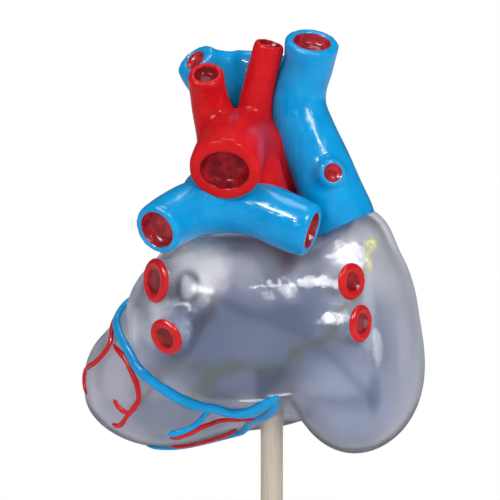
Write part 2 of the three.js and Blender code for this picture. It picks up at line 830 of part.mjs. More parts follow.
// A ring with a funnel of leaflets below it, parted by slits
function valve(point, way, { diameter, leaflets, drop, turn }) {
  const radius = diameter / 2;
  const tip = radius * leafletTipShare;
  const foot = valveRingHeight + drop;
  let shape = solid(turned([
    [radius, 0],
    [radius, valveRingHeight],
    [radius - leafletThickness, valveRingHeight],
    [tip, foot],
    [tip - leafletThickness, foot],
    [radius - valveRingWidth, 0],
    [radius, 0],
  ]));
  for (let index = 0; index < leaflets; index += 1) {
    const slit = new THREE.BoxGeometry(diameter, leafletSlit, 2 * drop);
    slit.translate(radius, 0, foot + clearance);
    slit.rotateZ(turn + (index / leaflets) * 2 * Math.PI);
    shape = shape.subtract(solid(slit));
  }
  const turnTo = new THREE.Quaternion().setFromUnitVectors(upWay, way);
  const matrix = new THREE.Matrix4().compose(point, turnTo, new THREE.Vector3(1, 1, 1));
  return shape.transform(matrix.toArray());
}

function inflowValve(point, size) {
  return valve(along(point, apexWay, -valvePlateThickness), apexWay, size);
}

function outflowValve(seat, way, size) {
  return valve(along(seat, way, -valveRingHeight - outflowDrop), way, size);
}

// The room that an outflow valve takes in the foot of its vessel: the ring's seat and the leaflets' bore
function outflowRoom(seat, way, { diameter, drop }) {
  const ringLow = -4 * valveRingHeight - outflowDrop;
  const ringRadius = diameter / 2 + clearance;
  const ring = rod(ringRadius, clearance - outflowDrop - ringLow, along(seat, way, ringLow), way);
  const boreLow = -outflowDrop - overcut;
  const boreLength = 2 * overcut + drop + valveRingHeight;
  const bore = rod(diameter / 2 - leafletThickness, boreLength, along(seat, way, boreLow), way);
  return ring.add(bore);
}

add('mitral_valve', inflowValve(mitralPoint, valveSizes.mitral), innerPlastic);
add('tricuspid_valve', inflowValve(tricuspidPoint, valveSizes.tricuspid), innerPlastic);
add('aortic_valve', outflowValve(aorticSeat, aorticWay, valveSizes.aortic), innerPlastic);
add('pulmonary_valve', outflowValve(pulmonarySeat, pulmonaryWay, valveSizes.pulmonary), innerPlastic);

// Great vessels

const aortaRoute = [
  [4, -11, 64, 13], [0, -12.5, 76, 12.6], [-1.5, -12.5, 90, 12], [1.5, -9, 102.5, 12],
  [8.6, -0.5, 107.4, 11.8], [12.8, 10.5, 107.6, 12], [14.6, 20.5, 105.4, 12.4, 11.9],
  [16.4, 29.5, 101.6, 12.7, 11.8],
];
// The fold of the arch that comes down to the pulmonary artery
const archFlankRoute = [
  [8, 1, 107.6, 9.4], [6.5, 6, 100, 9.8], [4.5, 8, 93, 9.6], [1.5, 8.5, 87, 9],
];
const leftArteryRoute = [
  [16.8, -1, 106, 9.5], [18.9, -2.8, 113, 8], [21.2, -3, 121, 7.1], [22.6, 0.3, 128.3, 6.5],
  [22.9, 4, 133, 6.6],
];
const rightArteryRoute = [
  [6.5, -5, 104, 9], [6.2, -4.2, 113, 7], [5.8, -3.2, 121, 6.1], [4.3, -2, 129.5, 5.7],
  [2.4, -0.5, 137, 5.6], [0.7, 1, 143.5, 5.5],
];
const cavaRoute = [
  [-13.8, 3, 144.1, 9.7], [-12.6, -1, 135.8, 8.9], [-10.2, -4, 128.5, 9.2], [-9.4, -4.5, 121, 9.7],
  [-12.2, -3, 111, 10.6], [-16.6, -1.5, 101, 11], [-20.4, -1, 91, 11.6], [-24.4, -3, 80, 12.4],
  [-26, -4, 70, 12],
];
const brachiocephalicRoute = [
  [27.2, -8, 137.3, 5.6, 7.4], [23.5, -11.5, 133.6, 5.6, 9.4], [17, -14, 129.4, 5.6, 12.2],
  [9, -15.5, 128.2, 5.6, 12.2], [-1, -13.5, 128.4, 5.6, 11], [-9, -8, 128, 5, 9],
];
const pulmonaryBar = [
  [39.4, 31.2, 80.9, 8.9], [34, 24, 84, 9.3], [25.8, 16.8, 87.2, 9.8], [17.6, 13.2, 88, 9.9],
  [10.1, 12.8, 87.5, 9.8], [2.9, 15, 86, 9.8], [-4.3, 19.4, 83.2, 9.9], [-10.4, 22.8, 80.9, 9.6],
  [-13.7, 23.9, 79.9, 9.2],
];
const pulmonaryTrunk = [
  [17, -25, 68, 11.5], [20, -24, 78, 11], [22, -16, 87, 10.2], [22, -4, 90, 9.6], [20, 8, 88.5, 9],
  [18, 16, 87, 8],
];
const mouthRadii = { aorta: 8, cava: 6.5, leftArtery: 4, rightArtery: 3.7, vein: 3.8, pulmonary: 6.5 };

const aortaAcross = new THREE.Vector3(0.83, -0.56, 0).normalize();
const branchAcross = new THREE.Vector3(1, 0, 0.1).normalize();
const cavaAcross = new THREE.Vector3(1, 0, 0.2).normalize();
const veinAcross = new THREE.Vector3(0.3, 1, 0).normalize();
const barAcross = new THREE.Vector3(0, 1, 0.1).normalize();
const trunkAcross = new THREE.Vector3(1, 0, 0);

function aortaBody(extra) {
  const flank = vessel(archFlankRoute, branchAcross, vesselSteps.flank, vesselSides, extra);
  return vessel(aortaRoute, aortaAcross, vesselSteps.aorta, vesselSides, extra).add(flank);
}

function cavaBody(extra) {
  return vessel(cavaRoute, cavaAcross, vesselSteps.cava, vesselSides, extra);
}

function branchBody(route, extra) {
  return vessel(route, branchAcross, vesselSteps.artery, smallSides, extra);
}

function archArtery(route, mouthRadius) {
  return branchBody(route, 0)
    .subtract(aortaBody(clearance))
    .subtract(cavaBody(clearance))
    .subtract(routeMouth(route, false, mouthRadius, smallMouthDepth));
}

const aorta = aortaBody(0)
  .subtract(vesselSkin)
  .subtract(routeMouth(aortaRoute, false, mouthRadii.aorta, largeMouthDepth))
  .subtract(outflowRoom(aorticSeat, aorticWay, valveSizes.aortic));
add('aorta', aorta, redPaint);
add('left_arch_artery', archArtery(leftArteryRoute, mouthRadii.leftArtery), redPaint);
add('right_arch_artery', archArtery(rightArteryRoute, mouthRadii.rightArtery), redPaint);

// The stub of the azygos vein on the back of the upper vena cava
const azygosPoint = inHeart([-18.7, 3.8, 98.3]);
const azygosWay = new THREE.Vector3(-0.25, 0.95, 0.08).normalize();
const azygosStub = turned([
  [0, 0],
  [azygosRadius + azygosFlare, 0],
  [azygosRadius + azygosFlare / 2, azygosNeck],
  [azygosRadius, azygosLength - azygosRound],
  [azygosRadius - azygosRound, azygosLength],
  [0, azygosLength],
]);
const azygosEnd = along(azygosPoint, azygosWay, azygosLength);

const cava = cavaBody(0)
  .add(solid(aim(azygosStub, azygosPoint, azygosWay)))
  .subtract(mouth(azygosEnd, azygosWay, azygosBore, smallMouthDepth))
  .subtract(routeMouth(cavaRoute, true, mouthRadii.cava, largeMouthDepth))
  .subtract(vesselSkin)
  .subtract(aortaBody(clearance));
add('superior_vena_cava', cava, bluePaint);

const brachiocephalicVein = vessel(brachiocephalicRoute, veinAcross, vesselSteps.vein, smallSides)
  .subtract(routeMouth(brachiocephalicRoute, true, mouthRadii.vein, smallMouthDepth))
  .subtract(cavaBody(clearance))
  .subtract(branchBody(leftArteryRoute, clearance))
  .subtract(branchBody(rightArteryRoute, clearance))
  .subtract(aortaBody(clearance));
add('left_brachiocephalic_vein', brachiocephalicVein, bluePaint);

const pulmonaryArtery = vessel(pulmonaryBar, barAcross, vesselSteps.bar, vesselSides)
  .add(vessel(pulmonaryTrunk, trunkAcross, vesselSteps.trunk, vesselSides))
  .subtract(routeMouth(pulmonaryBar, true, mouthRadii.pulmonary, largeMouthDepth))
  .subtract(routeMouth(pulmonaryBar, false, mouthRadii.pulmonary, largeMouthDepth))
  .subtract(vesselSkin)
  .subtract(outflowRoom(pulmonarySeat, pulmonaryWay, valveSizes.pulmonary))
  .subtract(aortaBody(clearance))
  .subtract(cavaBody(clearance));
add('pulmonary_artery', pulmonaryArtery, bluePaint);

// Rings of the pulmonary veins, glued to their roots

for (const [name, { at, facing, radius, bore }] of Object.entries(stubs)) {
  const way = vec(facing).normalize();
  const back = along(onSkin(inHeart(at), 0), way, rootRise + glueGap);
  const ring = turned([
    [0, 0],
    [radius, 0],
    [radius, ringThickness - ringLip],
    [radius - ringLip, ringThickness],
    [0, ringThickness],
  ], vesselSides);
  const dish = mouth(along(back, way, ringThickness), way, bore, ringDish);
  add(name, solid(aim(ring, back, way)).subtract(dish).subtract(vesselSkin), redPaint);
}

// Raised lines on the surface. Each is cut clear of the lines that it crosses

// A round line along points, each snapped to the heart's surface at a lift
function skinLine(points, radius, steps) {
  const rough = new THREE.CatmullRomCurve3(points.map(inHeart));
  const snapped = rough.getSpacedPoints(steps).map((point) => onSkin(point, lineLift));
  return roundBar(snapped, radius, steps);
}

function drawLines(lines, cuts) {
  const drawn = [...cuts];
  for (const { name, paint, radius, steps, points } of lines) {
    const line = skinLine(points, radius, steps).subtract(vesselSkin);
    add(name, drawn.reduce((rest, cut) => rest.subtract(cut), line), paint);
    drawn.push(skinLine(points, radius + clearance, steps));
  }
}

const rearLines = [
  {
    name: 'coronary_sinus', paint: bluePaint, radius: sinusRadius, steps: 20,
    points: [
      [50.5, -9, 53.5], [52.5, -4.7, 51], [53.8, -2, 47.3], [52.8, 4.5, 42.8], [49.7, 11, 37.2],
      [46.8, 13.7, 32.1], [41.5, 16, 27.5], [35, 16.4, 23], [29.2, 14.8, 19.2], [22.7, 12, 16.2],
      [16, 10.2, 14.8], [9.1, 12, 16.2], [2.5, 17, 19.2], [-1.9, 21, 22.2],
    ],
  },
  {
    name: 'left_marginal_artery', paint: redPaint, radius: arteryRadius, steps: 11,
    points: [
      [54.4, -7.5, 49.7], [55.2, -4.5, 45.5], [55, 1.6, 40], [57.3, 2.6, 35.3], [60.4, 0.9, 31.9],
      [64.6, -6, 27.5], [65.3, -6.8, 23.5], [64.3, -5, 19.5],
    ],
  },
  {
    name: 'posterolateral_artery', paint: redPaint, radius: arteryRadius, steps: 14,
    points: [
      [54.5, 4.2, 38.4], [50.6, 9.6, 34.6], [48, 12.4, 30.1], [45.9, 13.8, 25.1],
      [45.7, 13.6, 20.6], [47.6, 12.4, 17.4], [49.8, 10.4, 14.6], [53, 4.3, 9.9], [55.5, 2.1, 10.2],
    ],
  },
  {
    name: 'posterior_ventricular_vein', paint: bluePaint, radius: veinRadius, steps: 8,
    points: [
      [21.5, 10.2, 16], [25.6, 7.4, 11.8], [30.8, 7.2, 8.8], [36, 7.1, 7.4],
    ],
  },
  {
    name: 'posterior_ventricular_artery', paint: redPaint, radius: arteryRadius, steps: 10,
    points: [
      [3.1, 5, 12], [10.9, 2, 11.6], [19.3, 3, 11.9], [24.2, 4.8, 10.2], [28.7, 5, 7.8],
      [35.1, 4.8, 5.8],
    ],
  },
  {
    name: 'middle_cardiac_vein', paint: bluePaint, radius: middleVeinRadius, steps: 17,
    points: [
      [-2, 19, 20.5], [0.5, 11, 15.5], [4.2, 5.5, 13.5], [6.8, -0.5, 11], [9, -6, 7],
      [12, -11.3, 4.3], [20, -13, 1], [30, -11, -0.5], [38, -8, 0], [43.5, -5, 1.4],
    ],
  },
  {
    name: 'posterior_descending_artery', paint: redPaint, radius: arteryRadius, steps: 9,
    points: [
      [12.5, -5.5, 7], [16, -8, 4], [23, -8.5, 1.4], [29, -6.5, 0.8], [35, -3.5, 1.5],
    ],
  },
];

const frontLines = [
  {
    name: 'left_anterior_descending_artery', paint: redPaint, radius: frontArteryRadius, steps: 12,
    points: [
      [24, -40, 53], [27, -43, 44], [32, -43, 34], [38, -41, 24], [45, -38, 14], [52, -34, 8],
    ],
  },
  {
    name: 'great_cardiac_vein', paint: bluePaint, radius: veinRadius, steps: 12,
    points: [[28.5, -38, 53], [31.5, -40, 44], [36.5, -41, 34], [42.5, -39, 24], [50, -35, 14]],
  },
  {
    name: 'right_marginal_artery', paint: redPaint, radius: arteryRadius, steps: 9,
    points: [[-12, -38, 20], [-2, -41, 16], [8, -41, 12], [19, -38, 7]],
  },
];

const behindSplit = halfSpace(frontSplit, backWay, -2 * clearance);
const aboveGroove = halfSpace(groovePoint, apexWay.clone().negate(), -2 * clearance);
drawLines(rearLines, [rodRoom, frontRegion(-clearance)]);
drawLines(frontLines, [behindSplit, aboveGroove]);

export default model;
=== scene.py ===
"""A clear anatomical heart with painted vessels on a rod stand, dressed over its construction."""

import json
import math

import bmesh
import bpy
import numpy as np
from mathutils import Matrix, Vector

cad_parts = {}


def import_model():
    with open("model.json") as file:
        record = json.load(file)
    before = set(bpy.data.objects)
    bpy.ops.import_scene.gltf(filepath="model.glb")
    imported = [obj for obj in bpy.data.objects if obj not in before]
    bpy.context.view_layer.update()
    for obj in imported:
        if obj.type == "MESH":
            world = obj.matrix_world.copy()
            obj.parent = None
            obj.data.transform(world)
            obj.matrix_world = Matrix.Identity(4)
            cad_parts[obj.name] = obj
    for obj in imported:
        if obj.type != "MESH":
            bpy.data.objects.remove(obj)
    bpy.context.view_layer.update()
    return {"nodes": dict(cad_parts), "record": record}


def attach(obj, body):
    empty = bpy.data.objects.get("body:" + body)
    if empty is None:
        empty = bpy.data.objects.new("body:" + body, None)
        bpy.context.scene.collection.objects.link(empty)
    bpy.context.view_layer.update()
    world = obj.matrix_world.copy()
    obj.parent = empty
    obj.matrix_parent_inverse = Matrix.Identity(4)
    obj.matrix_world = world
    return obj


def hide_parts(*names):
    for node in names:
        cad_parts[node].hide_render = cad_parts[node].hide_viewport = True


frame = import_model()

MM = 0.001
TAU = 2 * math.pi

# Camera and stage, in metres
CAMERA_PLACE = Vector((0.0077, 0.89507, 0.20508))
CAMERA_TARGET = Vector((0.0077, 0, 0.111))
CAMERA_SENSOR = 36
CAMERA_LENS = CAMERA_SENSOR * 900 / 175
CAMERA_CLIP = 0.05
FLOOR_SIZE = 6
FLOOR_DROP = 0.0004
SKY_LIGHT = 0.5
SKY_GLOSS = 0.05
FLOOR_GLOSS = 0.45
FLOOR_SHADE_NEAR = 0.075
FLOOR_SHADE_FAR = 0.12

# The lobes whose smooth union is the skin of the heart: centre and radii, in millimetres
LOBE_BLEND = 6
LOBES = {
    "left_atrium": ((12, 6, 87.5), (39.1, 31, 30.2)),
    "left_atrium_right_end": ((-17, 14, 93), (18, 18, 17)),
    "right_atrium": ((-28, 0, 81.5), (23.9, 30, 40.6)),
    "right_atrium_base": ((-30, 3, 68.4), (23, 27.4, 27.4)),
    "right_atrium_shoulder": ((-30, -2, 115), (11, 13, 11)),
    "left_ventricle": ((38.5, -12, 64), (28.2, 27, 24)),
    "left_ventricle_shoulder": ((44, -6, 80), (11.5, 14, 12.5)),
    "right_ventricle": ((10, -19, 67.4), (40, 25, 23.2)),
    "apex": ((35, -18, 56.3), (30.6, 21, 15.9)),
    "crux": ((6, 1, 60.5), (14, 13, 8)),
    "outflow": ((14, -24, 100), (16, 14, 18)),
    "left_auricle": ((29, -15, 103), (13, 13, 9)),
}
HEART_CENTRE = np.array((8, -4, 82.0))
SHELL_WALL = 3.4
CLEARANCE = 0.3
CASTING_GAP = 0.02
INNER_WAVES = 0.35
MARCH_START = 120
MARCH_STEPS = 60
MARCH_PACE = 0.7

# The planes that part the front wall from the rear shell, in millimetres
SPLIT_POINT = Vector((0, -20, 0))
FRONT_WAY = Vector((0, -1, 0))
GROOVE_POINT = Vector((33, 16, 74))
APEX_WAY = Vector((0.426, -0.395, -0.813)).normalized()

# Vessel routes in millimetres: x, y, z, radius across, and radius up where it differs
AORTA = [
    (4, -11, 104, 13), (0, -12.5, 116, 12.6), (-1.5, -12.5, 130, 12), (1.5, -9, 142.5, 12),
    (8.6, -0.5, 147.4, 11.8), (12.8, 10.5, 147.6, 12), (14.6, 20.5, 145.4, 12.4, 11.9),
    (16.4, 29.5, 140.8, 12.7, 11.8),
]
ARCH_FLANK = [
    (8, 1, 147.6, 9.4), (6.5, 6, 140, 9.8), (4.5, 8, 133, 9.6), (1.5, 8.5, 127, 9),
]
LEFT_ARTERY = [
    (16.8, -1, 146, 9.5), (18.9, -2.8, 153, 8), (21.2, -3, 161, 7.1), (22.6, 0.3, 168.3, 6.5),
    (22.9, 4, 173, 6.6),
]
RIGHT_ARTERY = [
    (6.5, -5, 144, 9), (6.2, -4.2, 153, 7), (5.8, -3.2, 161, 6.1), (4.3, -2, 169.5, 5.7),
    (2.4, -0.5, 177, 5.6), (0.7, 1, 183.5, 5.5),
]
CAVA = [
    (-13.8, 3, 184.1, 9.7), (-12.6, -1, 175.8, 8.9), (-10.2, -4, 168.5, 9.2),
    (-9.4, -4.5, 161, 9.7), (-12.2, -3, 151, 10.6), (-16.6, -1.5, 141, 11), (-20.4, -1, 131, 11.6),
    (-24.4, -3, 120, 12.4), (-26, -4, 110, 12),
]
BRACHIOCEPHALIC = [
    (27.2, -8, 177.3, 5.6, 7.4), (23.5, -11.5, 173.6, 5.6, 9.4), (17, -14, 169.4, 5.6, 12.2),
    (9, -15.5, 168.2, 5.6, 12.2), (-1, -13.5, 168.4, 5.6, 11), (-9, -8, 168, 5, 9),
]
PULMONARY_BAR = [
    (39.4, 31.2, 120.9, 8.9), (34, 24, 124, 9.3), (25.8, 16.8, 127.2, 9.8), (17.6, 13.2, 128, 9.9),
    (10.1, 12.8, 127.5, 9.8), (2.9, 15, 126, 9.8), (-4.3, 19.4, 123.2, 9.9),
    (-10.4, 22.8, 120.9, 9.6), (-13.7, 23.9, 119.9, 9.2),
]
PULMONARY_TRUNK = [
    (17, -25, 108, 11.5), (20, -24, 118, 11), (22, -16, 127, 10.2), (22, -4, 130, 9.6),
    (20, 8, 128.5, 9), (18, 16, 127, 8),
]
AORTA_ACROSS = Vector((0.83, -0.56, 0))
BRANCH_ACROSS = Vector((1, 0, 0.1))
CAVA_ACROSS = Vector((1, 0, 0.2))
VEIN_ACROSS = Vector((0.3, 1, 0))
BAR_ACROSS = Vector((0, 1, 0.1))
TRUNK_ACROSS = Vector((1, 0, 0))

AZYGOS_FOOT = Vector((-18.7, 3.8, 138.3))
AZYGOS_WAY = Vector((-0.25, 0.95, 0.08)).normalized()
AZYGOS_LENGTH = 9
AZYGOS_RADIUS = 5

# Pulmonary veins: the seat of each clear root on the skin, its facing, radius, bore radius and
# height against width
VEIN_ROOTS = {
    "left_upper_pulmonary_vein": ((36.4, 23.9, 102.9), (0.84, 0.54, 0.05), 7.4, 4.2, 1.03),
    "left_lower_pulmonary_vein": ((33.7, 31.6, 86.2), (0.6, 0.74, -0.3), 6.4, 3.5, 1.0),
    "right_upper_pulmonary_vein": ((-24.1, 27.7, 103.3), (-0.7, 0.71, 0.05), 6.1, 3.2, 1.03),
    "right_lower_pulmonary_vein": ((-26.6, 30.7, 89.4), (-0.82, 0.57, 0), 6.2, 3.4, 1.03),
}
ROOT_RISE = 3
ROOT_DEPTH = 7
ROOT_INSET = 0.2
ROOT_BLEND = 5
RING_THICKNESS = 2

# Dents and swellings of the clear body: place, reach along each axis and height
RELIEF = [
    ((30, 24.5, 100), (5.5, 8, 7.5), -1.5),
    ((30, 24.5, 99), (2.6, 6, 4.2), 1.3),
    ((8, 34, 92), (16, 14, 9), -0.5),
    ((-20, 30, 96.5), (9, 9, 4), -1.6),
    ((-12, 30, 103), (10, 8, 2.5), 0.5),
    ((36, 24, 92), (5, 8, 6), -1.0),
]

# Painted shade and light in the clear body's tint: centre, reach along each axis and tint
PAINTED_SHADE_AND_LIGHT_ZONES = [
    ((4, 34, 81), (46, 26, 27), (0.29, 0.335, 0.455)),
    ((-24, 27, 58), (22, 16, 20), (0.52, 0.57, 0.70)),
    ((50, 0, 66), (20, 26, 18), (0.68, 0.66, 0.71)),
    ((36, 14, 54), (20, 16, 9), (0.39, 0.42, 0.51)),
    ((-34.5, 26, 65), (3, 9, 9), (0.36, 0.40, 0.51)),
    ((-45, 16, 80), (3.5, 12, 26), (0.68, 0.7, 0.78)),
    ((-38, 14, 110), (14, 16, 18), (0.9, 0.9, 0.93)),
    ((-25, 18, 112), (9, 12, 7), (0.9, 0.9, 0.93)),
    ((26, 25, 106), (13, 17, 14), (0.88, 0.86, 0.88)),
    ((41, 27, 88), (7, 8, 8), (0.78, 0.79, 0.84)),
    ((50, 14, 86), (8, 12, 9), (0.84, 0.84, 0.88)),
    ((28.7, 29.2, 101.5), (5.4, 8, 7), (0.24, 0.26, 0.32)),
    ((28.7, 29.2, 101), (3, 8, 4.4), (0.86, 0.86, 0.87)),
]

# Painted highlights, ragged bright patches that also glow, and below nought painted shade in them:
# centre, reach, brightness and raggedness
PAINTED_HIGHLIGHTS = [
    ((-15, 29, 103.2), (14, 6, 2.1), 0.42, 2.4),
    ((-5, 30, 101), (4, 6, 2.6), 0.2, 2.6),
    ((-21.5, 31, 90.5), (5, 6, 2.6), 0.42, 3.5),
    ((-25.5, 20, 111.5), (6, 8, 6), 0.4, 2.5),
    ((-35.5, 29, 81), (1.9, 7, 7), 0.14, 2),
    ((-32.5, 28, 91), (2.8, 8, 16), 0.06, 1),
    ((-46, 16, 88), (3, 8, 18), 0.015, 1),
    ((5, 20.8, 61), (7, 8, 0.8), 0.35, 1.2),
    ((-3, 22, 62.8), (6, 8, 0.8), 0.35, 1.2),
    ((31, 31, 87), (3, 6, 5), 0.14, 3),
    ((25, 23, 108.5), (12, 17, 12), 0.08, 1.2),
    ((23.5, 26, 99), (3, 8, 8), 0.08, 1.2),
    ((38, 28, 93), (6, 8, 6), 0.08, 2),
    ((50, 14, 87), (6, 10, 7), 0.06, 1.5),
    ((28.7, 29.2, 101.5), (4.8, 8, 6.4), -0.15, 0.6),
    ((28.7, 29.2, 101), (2.6, 8, 4.2), 0.13, 2),
]

# Raised lines: radii at both ends, paint, body and routes over the skin
LINES = {
    "coronary_sinus": ((1.6, 2.5), "blue", "heart", [[
        (50.5, -9, 93.5), (52.5, -4.7, 91), (53.8, -2, 87.3), (52.8, 4.5, 82.8), (49.7, 11, 77.2),
        (46.8, 13.7, 72.1), (41.5, 16, 67.5), (35, 16.4, 63), (29.2, 14.8, 59.2), (22.7, 12, 56.2),
        (16, 10.2, 54.8), (9.1, 12, 56.2), (2.5, 17, 59.2), (-1.9, 21, 62.2)]]),
    "left_marginal_artery": ((1.1, 0.8), "red", "heart", [[
        (54.4, -7.5, 89.7), (55.2, -4.5, 85.5), (55, 1.6, 80), (57.3, 2.6, 75.3), (60.4, 0.9, 71.9),
        (64.6, -6, 67.5), (65.3, -6.8, 63.5), (64.3, -5, 59.5)]]),
    "posterolateral_artery": ((1, 0.9), "red", "heart", [[
        (54.5, 4.2, 78.4), (50.6, 9.6, 74.6), (48, 12.4, 70.1), (45.9, 13.8, 65.1),
        (45.7, 13.6, 60.6), (47.6, 12.4, 57.4), (49.8, 10.4, 54.6), (53, 4.3, 49.9),
        (55.5, 2.1, 50.2)], [
        (49.4, 10.6, 55.2), (52, 9.7, 57), (54, 9.3, 60.3)]]),
    "posterior_ventricular_vein": ((1, 1.5), "blue", "heart", [[
        (21.5, 10.2, 56), (25.6, 7.4, 51.8), (30.8, 7.2, 48.8), (36, 7.1, 47.4)]]),
    "posterior_ventricular_artery": ((0.7, 1.3), "red", "heart", [[
        (3.1, 5, 52), (10.9, 2, 51.6), (19.3, 3, 51.9), (24.2, 4.8, 50.2), (28.7, 5, 47.8),
        (35.1, 4.8, 45.8)]]),
    "middle_cardiac_vein": ((2.1, 0.7), "blue", "heart", [[
        (-2, 19, 60.5), (0.5, 11, 55.5), (4.2, 5.5, 53.5), (6.8, -0.5, 51), (9, -6, 47),
        (12, -11.3, 44.3), (20, -13, 41), (30, -11, 39.5), (38, -8, 40), (43.5, -5, 41.4)]]),
    "posterior_descending_artery": ((1, 0.8), "red", "heart", [[
        (12.5, -5.5, 47), (16, -8, 44), (23, -8.5, 41.4), (29, -6.5, 40.8), (35, -3.5, 41.5)]]),
    "left_anterior_descending_artery": ((1.4, 0.9), "red", "front_wall", [[
        (24, -40, 93), (27, -43, 84), (32, -43, 74), (38, -41, 64), (45, -38, 54), (52, -34, 48)]]),
    "great_cardiac_vein": ((1.3, 0.9), "blue", "front_wall", [[
        (28.5, -38, 93), (31.5, -40, 84), (36.5, -41, 74), (42.5, -39, 64), (50, -35, 54)]]),
    "right_marginal_artery": ((1.1, 0.8), "red", "front_wall", [[
        (-12, -38, 60), (-2, -41, 56), (8, -41, 52), (19, -38, 47)]]),
}
LINE_LIFT = 0.35
LINE_HEIGHT = 0.8
LINE_SIDES = 16
LINE_STEPS = 10
LINE_SHARP_ANGLE = 60

# Paints, linear, their coats and the darker and lighter paint inside the mouths
RED = (0.66, 0.013, 0.016)
RED_DEEP = (0.55, 0.008, 0.013)
BLUE = (0.001, 0.35, 0.74)
BLUE_DEEP = (0.001, 0.29, 0.66)
ARCH_SHINE = 0.14
CAVA_SHINE = 0.32
RED_BORE = ((0.17, 0.007, 0.012), (0.38, 0.014, 0.022))
BLUE_BORE = ((0.27, 0.012, 0.02), (0.56, 0.026, 0.042))

# Mouths of the vessels: radius and depth of the dish, and its height against its width where it
# isn't round
AORTA_MOUTH = (8.4, 5, 0.86)
LEFT_ARTERY_MOUTH = (4, 3)
RIGHT_ARTERY_MOUTH = (3.7, 3)
CAVA_MOUTH = (6.5, 4.5)
BAR_LEFT_MOUTH = (6.5, 4.5)
BAR_RIGHT_MOUTH = (6.3, 4.5)
AZYGOS_MOUTH = (3.2, 1.8)
BRACHIOCEPHALIC_MOUTH = (3.8, 1.8)
MOUTH_LIP = -0.25
MOUTH_FLOOR = -9

# Below this height the brush strokes of the blue vessels run along the bar
STROKE_TURN = 134

# Fineness, and the rounds of smoothing, which soften the arch most
OUTER_DETAIL = 7
INNER_DETAIL = 5
ROUGH_VOXEL = 0.8
CASTING_VOXEL = 0.5
RING_VOXEL = 0.25
ARCH_ROUNDS = 26
CAVA_ROUNDS = 14
BRANCH_ROUNDS = 6
FINE_ROUNDS = 3
RING_ROUNDS = 4
SMOOTHING = 0.5
VESSEL_RINGS = 60
ROUTE_STEPS = 200
TUBE_SIDES = 32
TURN_STEPS = 48
SHARP_ANGLE = 50

# Lamps aimed at the heart: place, width and height in metres, watts, whether reflections show
# them and whether they light the paint
LAMP_TARGET = (0, 0, 0.11)
LAMPS = {
    "key_lamp": ((-0.45, 0.85, 0.72), 0.2, 0.2, 3.2, True, True),
    "side_key_lamp": ((0.45, 0.8, 0.6), 0.1, 0.1, 1.4, True, True),
    "gloss_lamp": ((-0.3, 0.6, 0.8), 0.35, 0.06, 4, True, False),
    "side_gloss_lamp": ((0.5, 0.52, 0.74), 0.45, 0.1, 9, True, False),
    "front_lamp": ((0.05, 1.15, 0.12), 0.5, 0.12, 1.7, False, True),
    "fill_lamp": ((-0.9, 0.6, 0.3), 0.3, 0.7, 1.4, False, True),
    "top_lamp": ((0, -0.1, 1.1), 0.4, 0.4, 2.2, True, True),
}


# Shader wiring


class Wire:
    """A shader socket. Sums, products and comparisons on it add their Math nodes."""

    def __init__(self, finish, socket):
        self.finish = finish
        self.socket = socket

    def math(self, operation, *values):
        inputs = dict(enumerate(values))
        return self.finish.node("Math", {"operation": operation}, inputs)

    def __add__(self, other):
        return self.math("ADD", self, other)

    def __sub__(self, other):
        return self.math("SUBTRACT", self, other)

    def __rsub__(self, other):
        return self.math("SUBTRACT", other, self)

    def __mul__(self, other):
        return self.math("MULTIPLY", self, other)

    def __gt__(self, other):
        return self.math("GREATER_THAN", self, other)


